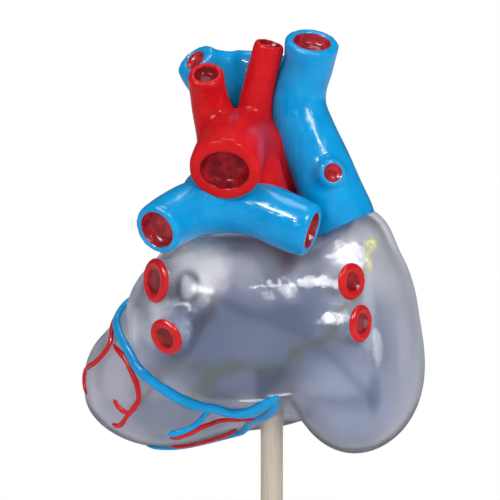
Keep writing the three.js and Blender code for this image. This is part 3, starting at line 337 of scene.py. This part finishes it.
class Finish:
    """A material with a Principled shader, whose constants sit on its own sockets."""

    def __init__(self, name, **constants):
        self.material = bpy.data.materials.new(name)
        self.material.use_nodes = True
        self.tree = self.material.node_tree
        self.shader = self.tree.nodes["Principled BSDF"]
        for key, value in constants.items():
            socket = key.replace("_", " ").title().replace("Ior", "IOR")
            self.shader.inputs[socket].default_value = value

    def node(self, kind, settings=None, inputs=None, output=0):
        made = self.tree.nodes.new("ShaderNode" + kind)
        for key, value in (settings or {}).items():
            setattr(made, key, value)
        for key, value in (inputs or {}).items():
            if isinstance(value, Wire):
                self.tree.links.new(value.socket, made.inputs[key])
            else:
                made.inputs[key].default_value = value
        return Wire(self, made.outputs[output])

    def feed(self, socket, value):
        self.tree.links.new(value.socket, self.shader.inputs[socket])

    def place(self):
        return self.node("TexCoord", output="Object")

    def noise(self, size_mm, detail=2, rough=0.5, stretch=(1, 1, 1)):
        """Noise from 0 to 1 whose features are about a size across, in millimetres."""
        inputs = {"Vector": self.place(), "Scale": stretch}
        where = self.node("Mapping", {"vector_type": "POINT"}, inputs)
        inputs = {"Vector": where, "Scale": 1 / (size_mm * MM)}
        inputs |= {"Detail": detail, "Roughness": rough}
        return self.node("TexNoise", None, inputs)

    def between(self, value, low, high, start=0.0, end=1.0):
        """A smooth step of a value, from start at low to end at high."""
        inputs = {"Value": value, "From Min": low, "From Max": high}
        inputs |= {"To Min": start, "To Max": end}
        return self.node("MapRange", {"interpolation_type": "SMOOTHSTEP"}, inputs)

    def mix(self, factor, first, second):
        """A colour between two, each an RGB value or a wire."""
        def full(colour):
            return colour if isinstance(colour, Wire) else (*colour, 1)
        inputs = {"Factor": factor, 6: full(first), 7: full(second)}
        return self.node("Mix", {"data_type": "RGBA"}, inputs, output=2)

    def bump(self, height, depth_mm):
        inputs = {"Height": height, "Distance": depth_mm * MM, "Strength": 1.0}
        self.feed("Normal", self.node("Bump", None, inputs))

    def vector_math(self, operation, first, second=None, output=0):
        inputs = {0: first} if second is None else {0: first, 1: second}
        return self.node("VectorMath", {"operation": operation}, inputs, output)

    def away(self, centre, reach):
        """How far the surface is from a centre, as a share of the reach along each axis."""
        offset = self.vector_math("SUBTRACT", self.place(), Vector(centre) * MM)
        share = self.vector_math("DIVIDE", offset, Vector(reach) * MM)
        return self.vector_math("LENGTH", share, output="Value")

    def along(self, point, way):
        """Distances of the surface from a point, in metres: along a way and round it."""
        offset = self.vector_math("SUBTRACT", self.place(), Vector(point) * MM)
        height = self.vector_math("DOT_PRODUCT", offset, way, output="Value")
        reach = self.vector_math("CROSS_PRODUCT", offset, way)
        return height, self.vector_math("LENGTH", reach, output="Value")


def lacquer(name, colour, deep, mouths=(), shine=0.3, turn_height=None, bore=RED_BORE):
    """Glossy brushed paint, with dark red paint inside the mouths: point, facing and bore radius.

    The strokes run upwards, and along X below the turn height where there is one.
    """
    paint = Finish(name, coat_weight=shine, coat_roughness=0.04, ior=1 + shine)
    cover = paint.mix(paint.between(paint.noise(9, detail=3), 0.3, 0.75), deep, colour)
    dark = paint.mix(paint.between(paint.noise(3.5), 0.35, 0.7), *bore)
    wobble = paint.noise(2.6) * (0.9 * MM) - 0.45 * MM
    for point, way, radius in mouths:
        height, reach = paint.along(point, way)
        inside = paint.between(reach + wobble, radius * MM, (radius + 0.25) * MM, 1, 0)
        below = paint.between(height, (MOUTH_LIP - 0.3) * MM, MOUTH_LIP * MM, 1, 0)
        near = height > MOUTH_FLOOR * MM
        cover = paint.mix(inside * below * near, cover, dark)
    paint.feed("Base Color", cover)
    paint.feed("Roughness", paint.between(paint.noise(5, detail=3), 0.3, 0.7, 0.16, 0.27))
    strokes = paint.noise(2.4, detail=3, stretch=(1, 1, 0.14))
    if turn_height:
        level = paint.along((0, 0, turn_height), (0, 0, 1))[0]
        above = paint.between(level, -4 * MM, 4 * MM)
        level_strokes = paint.noise(2.4, detail=3, stretch=(0.14, 1, 1))
        strokes = strokes * above + level_strokes * (1 - above)
    paint.bump(paint.noise(5, detail=2) * 0.8 + strokes, 0.32)
    return paint.material


def clear_resin(name, tint, cloud, shade_and_light_zones=(), painted_highlights=(), **constants):
    """Smoky clear cast resin with soft upright clouds and a slightly wavy polish.

    A zone is a soft patch of another tint, painting shade or light: centre, reach and colour. A
    painted highlight is a bright patch that also glows: centre, reach, brightness and raggedness.
    """
    resin = Finish(name, **constants)
    clouds = resin.noise(15, detail=3, stretch=(1, 1, 0.28))
    ragged = resin.noise(3, detail=3, rough=0.55, stretch=(1, 1, 0.6)) - 0.5
    cover = resin.mix(resin.between(clouds, 0.36, 0.64), tint, cloud)
    # Patches of painted shade and painted light on the tint
    for centre, reach, colour in shade_and_light_zones:
        away = resin.away(centre, reach) + clouds * 0.5
        cover = resin.mix(resin.between(away, 0.8, 1.4, 1, 0), cover, colour)
    highlight = None
    # Painted highlights brighten the colour and glow; levels below nought paint shade into them
    for centre, reach, level, uneven in painted_highlights:
        away = resin.away(centre, reach) + ragged * uneven
        spot = resin.between(away, 0.6, 1.1, level, 0)
        highlight = spot if highlight is None else highlight + spot
    if painted_highlights:
        cover = resin.mix(highlight, cover, (1, 1, 1))
        resin.feed("Emission Color", resin.mix(highlight, (0, 0, 0), (0.98, 0.99, 1)))
    resin.feed("Base Color", cover)
    waves = resin.noise(11, detail=1, stretch=(1, 1, 0.4)) + resin.noise(0.9, detail=3) * 0.035
    resin.bump(waves, 0.35)
    return resin.material


def solid_paint(name, colour, shade, roughness, size_mm=3, depth_mm=0.06, **constants):
    """A plain finish with small changes of shade and a fine uneven surface."""
    paint = Finish(name, **constants)
    grain = paint.noise(size_mm, detail=4, rough=0.6)
    paint.feed("Base Color", paint.mix(paint.between(grain, 0.3, 0.7), shade, colour))
    paint.feed("Roughness", paint.between(grain, 0.3, 0.7, roughness * 1.2, roughness * 0.85))
    paint.bump(grain, depth_mm)
    return paint.material


def drawn_steel(name, colour, shade):
    """Round bar drawn lengthwise: long fine scratches and a soft warm sheen."""
    steel = Finish(name, metallic=0.4, ior=1.45)
    lines = steel.noise(0.35, detail=3, stretch=(1, 1, 0.02))
    bands = steel.noise(4, detail=2, stretch=(1, 1, 0.08))
    streaks = steel.between(lines * 0.6 + bands * 0.4, 0.35, 0.65)
    steel.feed("Base Color", steel.mix(streaks, shade, colour))
    steel.feed("Roughness", steel.between(lines, 0.3, 0.7, 0.26, 0.38))
    steel.bump(lines, 0.012)
    return steel.material


# The field of the lobes


def lobe_distance(points, centre, radii):
    offset = points - np.array(centre, float)
    radii = np.array(radii, float)
    near = np.linalg.norm(offset / radii, axis=1)
    slope = np.linalg.norm(offset / radii ** 2, axis=1) + 1e-9
    return near * (near - 1) / slope


def lobes_distance(points):
    """Distance to the smooth union of the lobes."""
    distances = [lobe_distance(points, centre, radii) for centre, radii in LOBES.values()]
    whole = distances[0]
    for nearer in distances[1:]:
        overlap = np.maximum(LOBE_BLEND - np.abs(whole - nearer), 0) / LOBE_BLEND
        whole = np.minimum(whole, nearer) - overlap ** 2 * LOBE_BLEND / 4
    return whole


def root_distance(points, seat, way, radius):
    """Distance to a clear root: a short round bar that stands out from the skin."""
    offset = points - np.array(seat)
    height = offset @ np.array(way)
    reach = np.linalg.norm(offset - height[:, None] * np.array(way), axis=1)
    beside = reach - (radius - ROOT_INSET)
    beyond = np.maximum(height - ROOT_RISE, -ROOT_DEPTH - height)
    outside = np.hypot(np.maximum(beside, 0), np.maximum(beyond, 0))
    return outside + np.minimum(np.maximum(beside, beyond), 0)


def body_distance(points):
    """The lobes with their vein roots and relief."""
    whole = lobes_distance(points)
    for place, reach, height in RELIEF:
        away = np.sum(((points - np.array(place)) / np.array(reach)) ** 2, axis=1)
        whole = whole - height * np.exp(-away)
    for seat, way, radius in seated_roots:
        root = root_distance(points, seat, way, radius)
        overlap = np.maximum(ROOT_BLEND - np.abs(whole - root), 0) / ROOT_BLEND
        whole = np.minimum(whole, root) - overlap ** 2 * ROOT_BLEND / 4
    return whole


def to_surface(origin, ways, lift, distance=lobes_distance):
    """Where lines from inside a body cross its skin, moved outwards by a lift."""
    ways = ways / np.linalg.norm(ways, axis=1)[:, None]
    far = np.full(len(ways), float(MARCH_START))
    for _ in range(MARCH_STEPS):
        far -= MARCH_PACE * (distance(origin + ways * far[:, None]) - lift)
    return origin + ways * far[:, None]


def on_skin(point):
    place = to_surface(HEART_CENTRE, np.array([point], float) - HEART_CENTRE, 0)
    return Vector(place[0])


seated_roots = [(on_skin(place), Vector(facing).normalized(), radius)
                for place, facing, radius, bore, tallness in VEIN_ROOTS.values()]


def skin(lift, detail, distance=lobes_distance, waves=0.0):
    """The skin of a body as a closed mesh. Waves vary its lift, as a hand-poured wall does."""
    mesh = bmesh.new()
    bmesh.ops.create_icosphere(mesh, subdivisions=detail, radius=1)
    ways = np.array([vert.co for vert in mesh.verts])
    if waves:
        x, y, z = ways.T
        lift = lift + waves * np.sin(7 * x + 4 * y) * np.sin(5 * y - 6 * z)
    places = to_surface(HEART_CENTRE, ways, lift, distance) * MM
    for vert, place in zip(mesh.verts, places):
        vert.co = place
    return mesh


# Pieces


def link_piece(name, mesh, finishes, sharp_angle=None):
    """A mesh becomes an object at the origin, smooth but for edges over the sharp angle."""
    data = bpy.data.meshes.new(name)
    mesh.to_mesh(data)
    mesh.free()
    piece = bpy.data.objects.new(name, data)
    bpy.context.scene.collection.objects.link(piece)
    for finish in finishes:
        data.materials.append(finish)
    shade(piece, sharp_angle)
    return piece


def shade(piece, sharp_angle=None):
    piece.data.polygons.foreach_set("use_smooth", [True] * len(piece.data.polygons))
    if sharp_angle is not None:
        piece.data.set_sharp_from_angle(angle=math.radians(sharp_angle))


def settle(piece):
    """The piece's modifiers become part of its mesh."""
    finishes = list(piece.data.materials)
    shown = piece.evaluated_get(bpy.context.evaluated_depsgraph_get())
    data = bpy.data.meshes.new_from_object(shown)
    piece.modifiers.clear()
    piece.data = data
    data.materials.clear()
    for finish in finishes:
        data.materials.append(finish)
    shade(piece)


def carve(piece, mesh):
    """Another mesh is cut from the piece."""
    tool = link_piece("tool", mesh, [])
    cut = piece.modifiers.new("Cut", "BOOLEAN")
    cut.operation = "DIFFERENCE"
    cut.solver = "EXACT"
    cut.object = tool
    settle(piece)
    bpy.data.objects.remove(tool)


def round_off(piece, voxel_mm, rounds):
    """Overlapping forms become one skin, whose creases and rims are rounded."""
    cast = piece.modifiers.new("Cast", "REMESH")
    cast.mode = "VOXEL"
    cast.voxel_size = voxel_mm * MM
    soft = piece.modifiers.new("Soft", "SMOOTH")
    soft.factor = SMOOTHING
    soft.iterations = rounds
    settle(piece)


def own(piece, body, slot, *nodes):
    """The piece joins its body and hides the CAD nodes that it stands for; the slot is not used."""
    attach(piece, body)
    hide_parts(*nodes)
    return piece


def curve_points(points, count):
    """Evenly parted points of a centripetal curve through the given ones."""
    knots = np.array(points, float)
    padded = np.vstack([2 * knots[0] - knots[1], knots, 2 * knots[-1] - knots[-2]])
    places = []
    for step in np.linspace(0, len(knots) - 1, count):
        index = min(int(step), len(knots) - 2)
        p0, p1, p2, p3 = padded[index:index + 4]
        gaps = ((p0, p1), (p1, p2), (p2, p3))
        g0, g1, g2 = (max(np.linalg.norm(b - a) ** 0.5, 1e-3) for a, b in gaps)
        t1 = ((p1 - p0) / g0 - (p2 - p0) / (g0 + g1) + (p2 - p1) / g1) * g1
        t2 = ((p2 - p1) / g1 - (p3 - p1) / (g1 + g2) + (p3 - p2) / g2) * g1
        way = step - index
        bend = -3 * p1 + 3 * p2 - 2 * t1 - t2
        twist = 2 * p1 - 2 * p2 + t1 + t2
        places.append(p1 + t1 * way + bend * way ** 2 + twist * way ** 3)
    return np.array(places)


def add_rings(mesh, places, sides_ways, widths, heights, sides=TUBE_SIDES):
    """A closed bar through rings: each has a place, a way to its side, a width and a height."""
    tangents = np.gradient(places, axis=0)
    rings = []
    rows = zip(places, tangents, sides_ways, widths, heights)
    for place, tangent, across, width, height in rows:
        tangent = Vector(tangent).normalized()
        up = tangent.cross(Vector(across)).normalized()
        side = up.cross(tangent).normalized()
        turn = Matrix((side, up, tangent)).transposed().to_4x4()
        size = Matrix.Diagonal((width * MM, height * MM, 1, 1))
        matrix = Matrix.Translation(Vector(place) * MM) @ turn @ size
        made = bmesh.ops.create_circle(mesh, segments=sides, radius=1, matrix=matrix)
        edges = {edge for vert in made["verts"] for edge in vert.link_edges}
        rings.append(sorted(edges, key=lambda edge: edge.index))
    for here, there in zip(rings, rings[1:]):
        bmesh.ops.bridge_loops(mesh, edges=here + there)
    for end in (rings[0], rings[-1]):
        bmesh.ops.contextual_create(mesh, geom=end)


def add_vessel(mesh, route, across, rings=VESSEL_RINGS):
    places = curve_points([station[:3] for station in route], rings)
    radii = curve_points([(station[3], station[-1], 0) for station in route], rings)
    add_rings(mesh, places, [across] * rings, radii[:, 0], radii[:, 1])


def route_end(route, at_start):
    """The centre of a route's end and the way that it faces."""
    places = curve_points([station[:3] for station in route], ROUTE_STEPS)
    if at_start:
        places = places[::-1]
    return Vector(places[-1]), Vector(places[-1] - places[-2]).normalized()


def turned(mesh, profile, point, way):
    """A profile of (radius, height) about a way, from axis to axis, in millimetres."""
    matrix = Matrix.Translation(point * MM) @ way.to_track_quat("Z", "Y").to_matrix().to_4x4()
    places = [Vector((radius * MM, 0, height * MM)) for radius, height in profile]
    verts = [mesh.verts.new(matrix @ place) for place in places]
    edges = [mesh.edges.new(pair) for pair in zip(verts, verts[1:])]
    bmesh.ops.spin(mesh, geom=verts + edges, cent=matrix.to_translation(), axis=way,
                   angle=TAU, steps=TURN_STEPS, use_merge=True)
    bmesh.ops.remove_doubles(mesh, verts=mesh.verts[:], dist=1e-6)


def add_bowl(mesh, point, way, radius, depth, tallness=1.0):
    """The dish of a mouth, with a soft lip at its rim. Its tallness is its height against width."""
    others = len(mesh.verts)
    turned(mesh, [
        (0, -depth), (radius * 0.5, -depth * 0.97), (radius * 0.78, -depth * 0.82),
        (radius * 0.93, -depth * 0.45), (radius, -0.5), (radius + 0.5, 0.15), (radius + 1.2, 4),
        (0, 4)], point, way)
    side = way.cross(Vector((0, 0, 1))).normalized()
    level = Matrix((side, way.cross(side), way)).to_4x4() @ Matrix.Translation(-point * MM)
    mesh.verts.ensure_lookup_table()
    bmesh.ops.scale(mesh, vec=(1, tallness, 1), space=level, verts=mesh.verts[others:])


def bowls(mouths):
    mesh = bmesh.new()
    for mouth in mouths:
        add_bowl(mesh, *mouth)
    bmesh.ops.recalc_face_normals(mesh, faces=mesh.faces[:])
    return mesh


def casting(name, mesh, mouths, rounds):
    """Fused vessels with dished mouths."""
    piece = link_piece(name, mesh, [])
    round_off(piece, ROUGH_VOXEL, rounds)
    carve(piece, bowls(mouths))
    round_off(piece, CASTING_VOXEL, FINE_ROUNDS)
    return piece


def end_on_skin(piece):
    """What lies inside the heart is cut away."""
    carve(piece, skin(CASTING_GAP, INNER_DETAIL))


def paint_mouths(mouths):
    return [(point, way, radius) for point, way, radius, *_ in mouths]


def red_vessels():
    mesh = bmesh.new()
    add_vessel(mesh, AORTA, AORTA_ACROSS)
    add_vessel(mesh, ARCH_FLANK, BRANCH_ACROSS, 30)
    add_vessel(mesh, LEFT_ARTERY, BRANCH_ACROSS, 40)
    add_vessel(mesh, RIGHT_ARTERY, BRANCH_ACROSS, 40)
    mouths = [
        (*route_end(AORTA, False), *AORTA_MOUTH),
        (*route_end(LEFT_ARTERY, False), *LEFT_ARTERY_MOUTH),
        (*route_end(RIGHT_ARTERY, False), *RIGHT_ARTERY_MOUTH),
    ]
    piece = casting("aortic_arch", mesh, mouths, ARCH_ROUNDS)
    end_on_skin(piece)
    paint = lacquer("red_lacquer_arch", RED, RED_DEEP, paint_mouths(mouths), ARCH_SHINE)
    piece.data.materials.append(paint)
    own(piece, "heart", "red_paint", "aorta", "left_arch_artery", "right_arch_artery")


def blue_vessels():
    mesh = bmesh.new()
    add_vessel(mesh, CAVA, CAVA_ACROSS, 70)
    add_vessel(mesh, PULMONARY_BAR, BAR_ACROSS, 50)
    add_vessel(mesh, PULMONARY_TRUNK, TRUNK_ACROSS, 40)
    turned(mesh, [
        (0, 0), (AZYGOS_RADIUS + 2.4, 0), (AZYGOS_RADIUS + 1.4, AZYGOS_LENGTH * 0.45),
        (AZYGOS_RADIUS + 0.2, AZYGOS_LENGTH * 0.8), (AZYGOS_RADIUS - 0.4, AZYGOS_LENGTH),
        (0, AZYGOS_LENGTH)], AZYGOS_FOOT, AZYGOS_WAY)
    mouths = [
        (*route_end(CAVA, True), *CAVA_MOUTH),
        (*route_end(PULMONARY_BAR, True), *BAR_LEFT_MOUTH),
        (*route_end(PULMONARY_BAR, False), *BAR_RIGHT_MOUTH),
        (AZYGOS_FOOT + AZYGOS_WAY * AZYGOS_LENGTH, AZYGOS_WAY, *AZYGOS_MOUTH),
    ]
    piece = casting("vena_cava_and_pulmonary_artery", mesh, mouths, CAVA_ROUNDS)
    end_on_skin(piece)
    paint = lacquer("blue_lacquer_vessels", BLUE, BLUE_DEEP, paint_mouths(mouths), CAVA_SHINE,
                    STROKE_TURN, BLUE_BORE)
    piece.data.materials.append(paint)
    own(piece, "heart", "blue_paint", "superior_vena_cava", "pulmonary_artery")


def left_vein():
    mesh = bmesh.new()
    add_vessel(mesh, BRACHIOCEPHALIC, VEIN_ACROSS, 50)
    mouths = [(*route_end(BRACHIOCEPHALIC, True), *BRACHIOCEPHALIC_MOUTH)]
    piece = casting("brachiocephalic_vein", mesh, mouths, BRANCH_ROUNDS)
    paint = lacquer("blue_lacquer_vein", BLUE, BLUE_DEEP, paint_mouths(mouths), bore=BLUE_BORE)
    piece.data.materials.append(paint)
    own(piece, "heart", "blue_paint", "left_brachiocephalic_vein")


def vein_rings():
    for name, (place, facing, radius, bore, tallness) in VEIN_ROOTS.items():
        way = Vector(facing).normalized()
        back = on_skin(place) + way * ROOT_RISE
        mesh = bmesh.new()
        turned(mesh, [
            (0, -0.3), (radius - 0.5, -0.3), (radius + 0.05, 0.3), (radius + 0.05, 1.1),
            (radius - 0.55, 1.8), (radius - 1.5, RING_THICKNESS), (bore + 0.5, 1.8), (bore, 1.4),
            (bore * 0.8, 0.9), (0, 0.8)], back, way)
        bmesh.ops.recalc_face_normals(mesh, faces=mesh.faces[:])
        lower = Matrix.Translation(-back * MM)
        bmesh.ops.scale(mesh, vec=(1, 1, tallness), space=lower, verts=mesh.verts[:])
        piece = link_piece(name + "_ring", mesh, [])
        round_off(piece, RING_VOXEL, RING_ROUNDS)
        mouths = [(back + way * RING_THICKNESS, way, bore)]
        piece.data.materials.append(lacquer("red_lacquer_" + name, RED, RED_DEEP, mouths))
        own(piece, "heart", "red_paint", name)


def skin_way(places):
    """The outward ways of the skin at places near it."""
    step = 0.05
    slopes = [lobes_distance(places + step * way) - lobes_distance(places - step * way)
              for way in np.eye(3)]
    ways = np.stack(slopes, axis=1)
    return ways / np.linalg.norm(ways, axis=1)[:, None]


def raised_lines(paints):
    for name, ((first_radius, last_radius), paint, body, routes) in LINES.items():
        mesh = bmesh.new()
        for route in routes:
            rough = curve_points(route, LINE_STEPS * len(route))
            places = to_surface(HEART_CENTRE, rough - HEART_CENTRE, LINE_LIFT)
            count = len(places)
            share = np.linspace(0, 1, count)
            ends = np.clip(np.minimum(share, 1 - share) * count / 5, 0.15, 1) ** 0.5
            uneven = 1 + 0.08 * np.sin(share * 23) + 0.05 * np.sin(share * 61 + 1)
            radius = first_radius + (last_radius - first_radius) * share
            ups = skin_way(places)
            sides_ways = np.cross(ups, np.gradient(places, axis=0))
            widths = radius * ends * uneven
            heights = LINE_HEIGHT * radius * ends
            add_rings(mesh, places, sides_ways, widths, heights, LINE_SIDES)
        bmesh.ops.recalc_face_normals(mesh, faces=mesh.faces[:])
        slot = paint + "_paint"
        line = link_piece(name + "_line", mesh, [paints[paint]], LINE_SHARP_ANGLE)
        own(line, body, slot, name)


def in_front(place, gap):
    """Whether a place in metres is in the front wall's region, moved by a gap in millimetres."""
    ahead = (place - SPLIT_POINT * MM).dot(FRONT_WAY)
    below = (place - GROOVE_POINT * MM).dot(APEX_WAY)
    return min(ahead, below) > gap * MM


def clear_wall(name, front, material):
    """Outer and inner skin of the rear shell or of the front wall, joined along the split."""
    gap = CLEARANCE / 2 if front else -CLEARANCE / 2
    outer = skin(0, OUTER_DETAIL, body_distance)
    inner = skin(-SHELL_WALL, INNER_DETAIL, waves=INNER_WAVES)
    bmesh.ops.reverse_faces(inner, faces=inner.faces[:])
    wall = bmesh.new()
    for side in (outer, inner):
        for point, way in ((SPLIT_POINT, FRONT_WAY), (GROOVE_POINT, APEX_WAY)):
            everything = side.verts[:] + side.edges[:] + side.faces[:]
            place = (point + way * gap) * MM
            bmesh.ops.bisect_plane(side, geom=everything, dist=1e-7, plane_co=place, plane_no=way)
        away = [face for face in side.faces
                if in_front(face.calc_center_median(), gap) != front]
        bmesh.ops.delete(side, geom=away, context="FACES")
        data = bpy.data.meshes.new("side")
        side.to_mesh(data)
        side.free()
        wall.from_mesh(data)
        bpy.data.meshes.remove(data)
    rims = [edge for edge in wall.edges if edge.is_boundary]
    bmesh.ops.bridge_loops(wall, edges=rims)
    return link_piece(name, wall, [material], SHARP_ANGLE)


def clear_body():
    # The resin's own smoky tint, with painted shade, painted light and glowing painted highlights
    resin = clear_resin("smoky_resin_painted_light", (0.53, 0.56, 0.65), (0.68, 0.69, 0.76),
                        PAINTED_SHADE_AND_LIGHT_ZONES, PAINTED_HIGHLIGHTS, transmission_weight=0.92, ior=1.1,
                        roughness=0.4, coat_weight=0.2, coat_roughness=0.1, emission_strength=1.0)
    rear = clear_wall("rear_clear_wall", False, resin)
    own(rear, "heart", "clear_plastic", "atrial_shell", "ventricular_shell")
    front = clear_wall("front_clear_wall", True, resin)
    own(front, "front_wall", "clear_plastic", "front_heart_wall")


def stage():
    """A pale floor, white to the camera but for the soft shade round the base."""
    finish = Finish("pale_floor_paint", roughness=0.9, base_color=(0.92, 0.92, 0.92, 1))
    rays = finish.tree.nodes.new("ShaderNodeLightPath")
    camera_ray, clear_ray, glossy_ray = (
        Wire(finish, rays.outputs[f"Is {kind} Ray"])
        for kind in ("Camera", "Transmission", "Glossy"))
    lit = Wire(finish, finish.shader.outputs[0])
    dim = finish.node("Emission", None, {"Strength": FLOOR_GLOSS})
    glow = finish.node("Emission")
    reach = finish.along((0, 0, 0), (0, 0, 1))[1]
    far = finish.between(reach, FLOOR_SHADE_NEAR, FLOOR_SHADE_FAR, 0.25, 1)
    dimmed = finish.node("MixShader", None, {0: glossy_ray, 1: lit, 2: dim})
    white = (camera_ray + clear_ray) * far
    mixed = finish.node("MixShader", None, {0: white, 1: dimmed, 2: glow})
    finish.tree.links.new(mixed.socket, finish.tree.nodes["Material Output"].inputs[0])
    mesh = bmesh.new()
    bmesh.ops.create_grid(mesh, x_segments=4, y_segments=4, size=FLOOR_SIZE / 2)
    bmesh.ops.translate(mesh, verts=mesh.verts[:], vec=(0, 0, -FLOOR_DROP))
    link_piece("floor", mesh, [finish.material])


def world():
    """White to the camera and through clear plastic, dim in reflections and soft as a light."""
    sky = bpy.data.worlds.new("studio")
    bpy.context.scene.world = sky
    sky.use_nodes = True
    nodes = sky.node_tree.nodes
    links = sky.node_tree.links
    rays = nodes.new("ShaderNodeLightPath")
    seen = nodes.new("ShaderNodeMath")
    seen.operation = "ADD"
    links.new(rays.outputs["Is Camera Ray"], seen.inputs[0])
    links.new(rays.outputs["Is Transmission Ray"], seen.inputs[1])
    level = nodes.new("ShaderNodeMapRange")
    level.inputs["To Min"].default_value = SKY_LIGHT
    level.inputs["To Max"].default_value = 1.0
    links.new(seen.outputs[0], level.inputs["Value"])
    dim = nodes.new("ShaderNodeMapRange")
    dim.inputs["To Max"].default_value = SKY_GLOSS
    links.new(rays.outputs["Is Glossy Ray"], dim.inputs["Value"])
    links.new(level.outputs[0], dim.inputs["To Min"])
    back = nodes["Background"]
    back.inputs["Color"].default_value = (1, 1, 1, 1)
    links.new(dim.outputs[0], back.inputs["Strength"])


def aimed(name, data, place, target):
    """An object at a place that looks at a target."""
    holder = bpy.data.objects.new(name, data)
    holder.location = place
    holder.rotation_mode = "QUATERNION"
    holder.rotation_quaternion = (Vector(target) - Vector(place)).to_track_quat("-Z", "Y")
    bpy.context.scene.collection.objects.link(holder)
    return holder


def lamps():
    for name, (place, width, height, power, mirrored, lights) in LAMPS.items():
        light = bpy.data.lights.new(name, "AREA")
        light.shape = "RECTANGLE"
        light.size = width
        light.size_y = height
        light.energy = power
        holder = aimed(name, light, place, LAMP_TARGET)
        holder.visible_glossy = mirrored
        holder.visible_diffuse = lights


def camera():
    view = bpy.data.cameras.new("photo_view")
    view.sensor_width = CAMERA_SENSOR
    view.lens = CAMERA_LENS
    view.clip_start = CAMERA_CLIP
    bpy.context.scene.camera = aimed("photo_view", view, CAMERA_PLACE, CAMERA_TARGET)


def carried_over():
    """Nodes that keep their own meshes get their finishes."""
    inner = clear_resin("inner_clear_resin", (0.93, 0.94, 0.97), (0.96, 0.97, 0.98),
                        transmission_weight=1.0, ior=1.02, roughness=0.3, alpha=0.16)
    finishes = {
        "inner_plastic": inner,
        # The conduction yellow glows faintly, painted light where little light reaches inside the
        # clear body
        "yellow_paint": solid_paint(
            "conduction_yellow_painted_glow", (0.72, 0.7, 0.3), (0.62, 0.6, 0.24), 0.45,
            emission_color=(0.5, 0.48, 0.2, 1), emission_strength=0.45),
        "rod_steel": drawn_steel("drawn_steel", (0.80, 0.68, 0.57), (0.66, 0.56, 0.47)),
        "bright_metal": solid_paint(
            "nickel", (0.75, 0.75, 0.76), (0.66, 0.66, 0.68), 0.2, metallic=1.0),
        "base_plastic": solid_paint(
            "white_moulding", (0.86, 0.86, 0.84), (0.8, 0.8, 0.78), 0.35),
        "sleeve_plastic": solid_paint("nylon", (0.82, 0.81, 0.77), (0.75, 0.74, 0.7), 0.45),
        "pad_rubber": solid_paint(
            "pad_rubber", (0.03, 0.03, 0.03), (0.018, 0.018, 0.018), 0.85, size_mm=1.2,
            depth_mm=0.2),
    }
    slots = {row["node"]: row["material_slot"] for row in frame["record"]["subparts"]}
    for name, node in frame["nodes"].items():
        finish = finishes.get(slots[name])
        if finish is None:
            continue
        node.data.materials.clear()
        node.data.materials.append(finish)


paints = {
    "red": lacquer("red_lacquer", RED, RED_DEEP),
    "blue": lacquer("blue_lacquer", BLUE, BLUE_DEEP),
}
carried_over()
clear_body()
red_vessels()
blue_vessels()
left_vein()
vein_rings()
raised_lines(paints)
stage()
world()
lamps()
camera()
bpy.context.scene.view_settings.view_transform = "Standard"
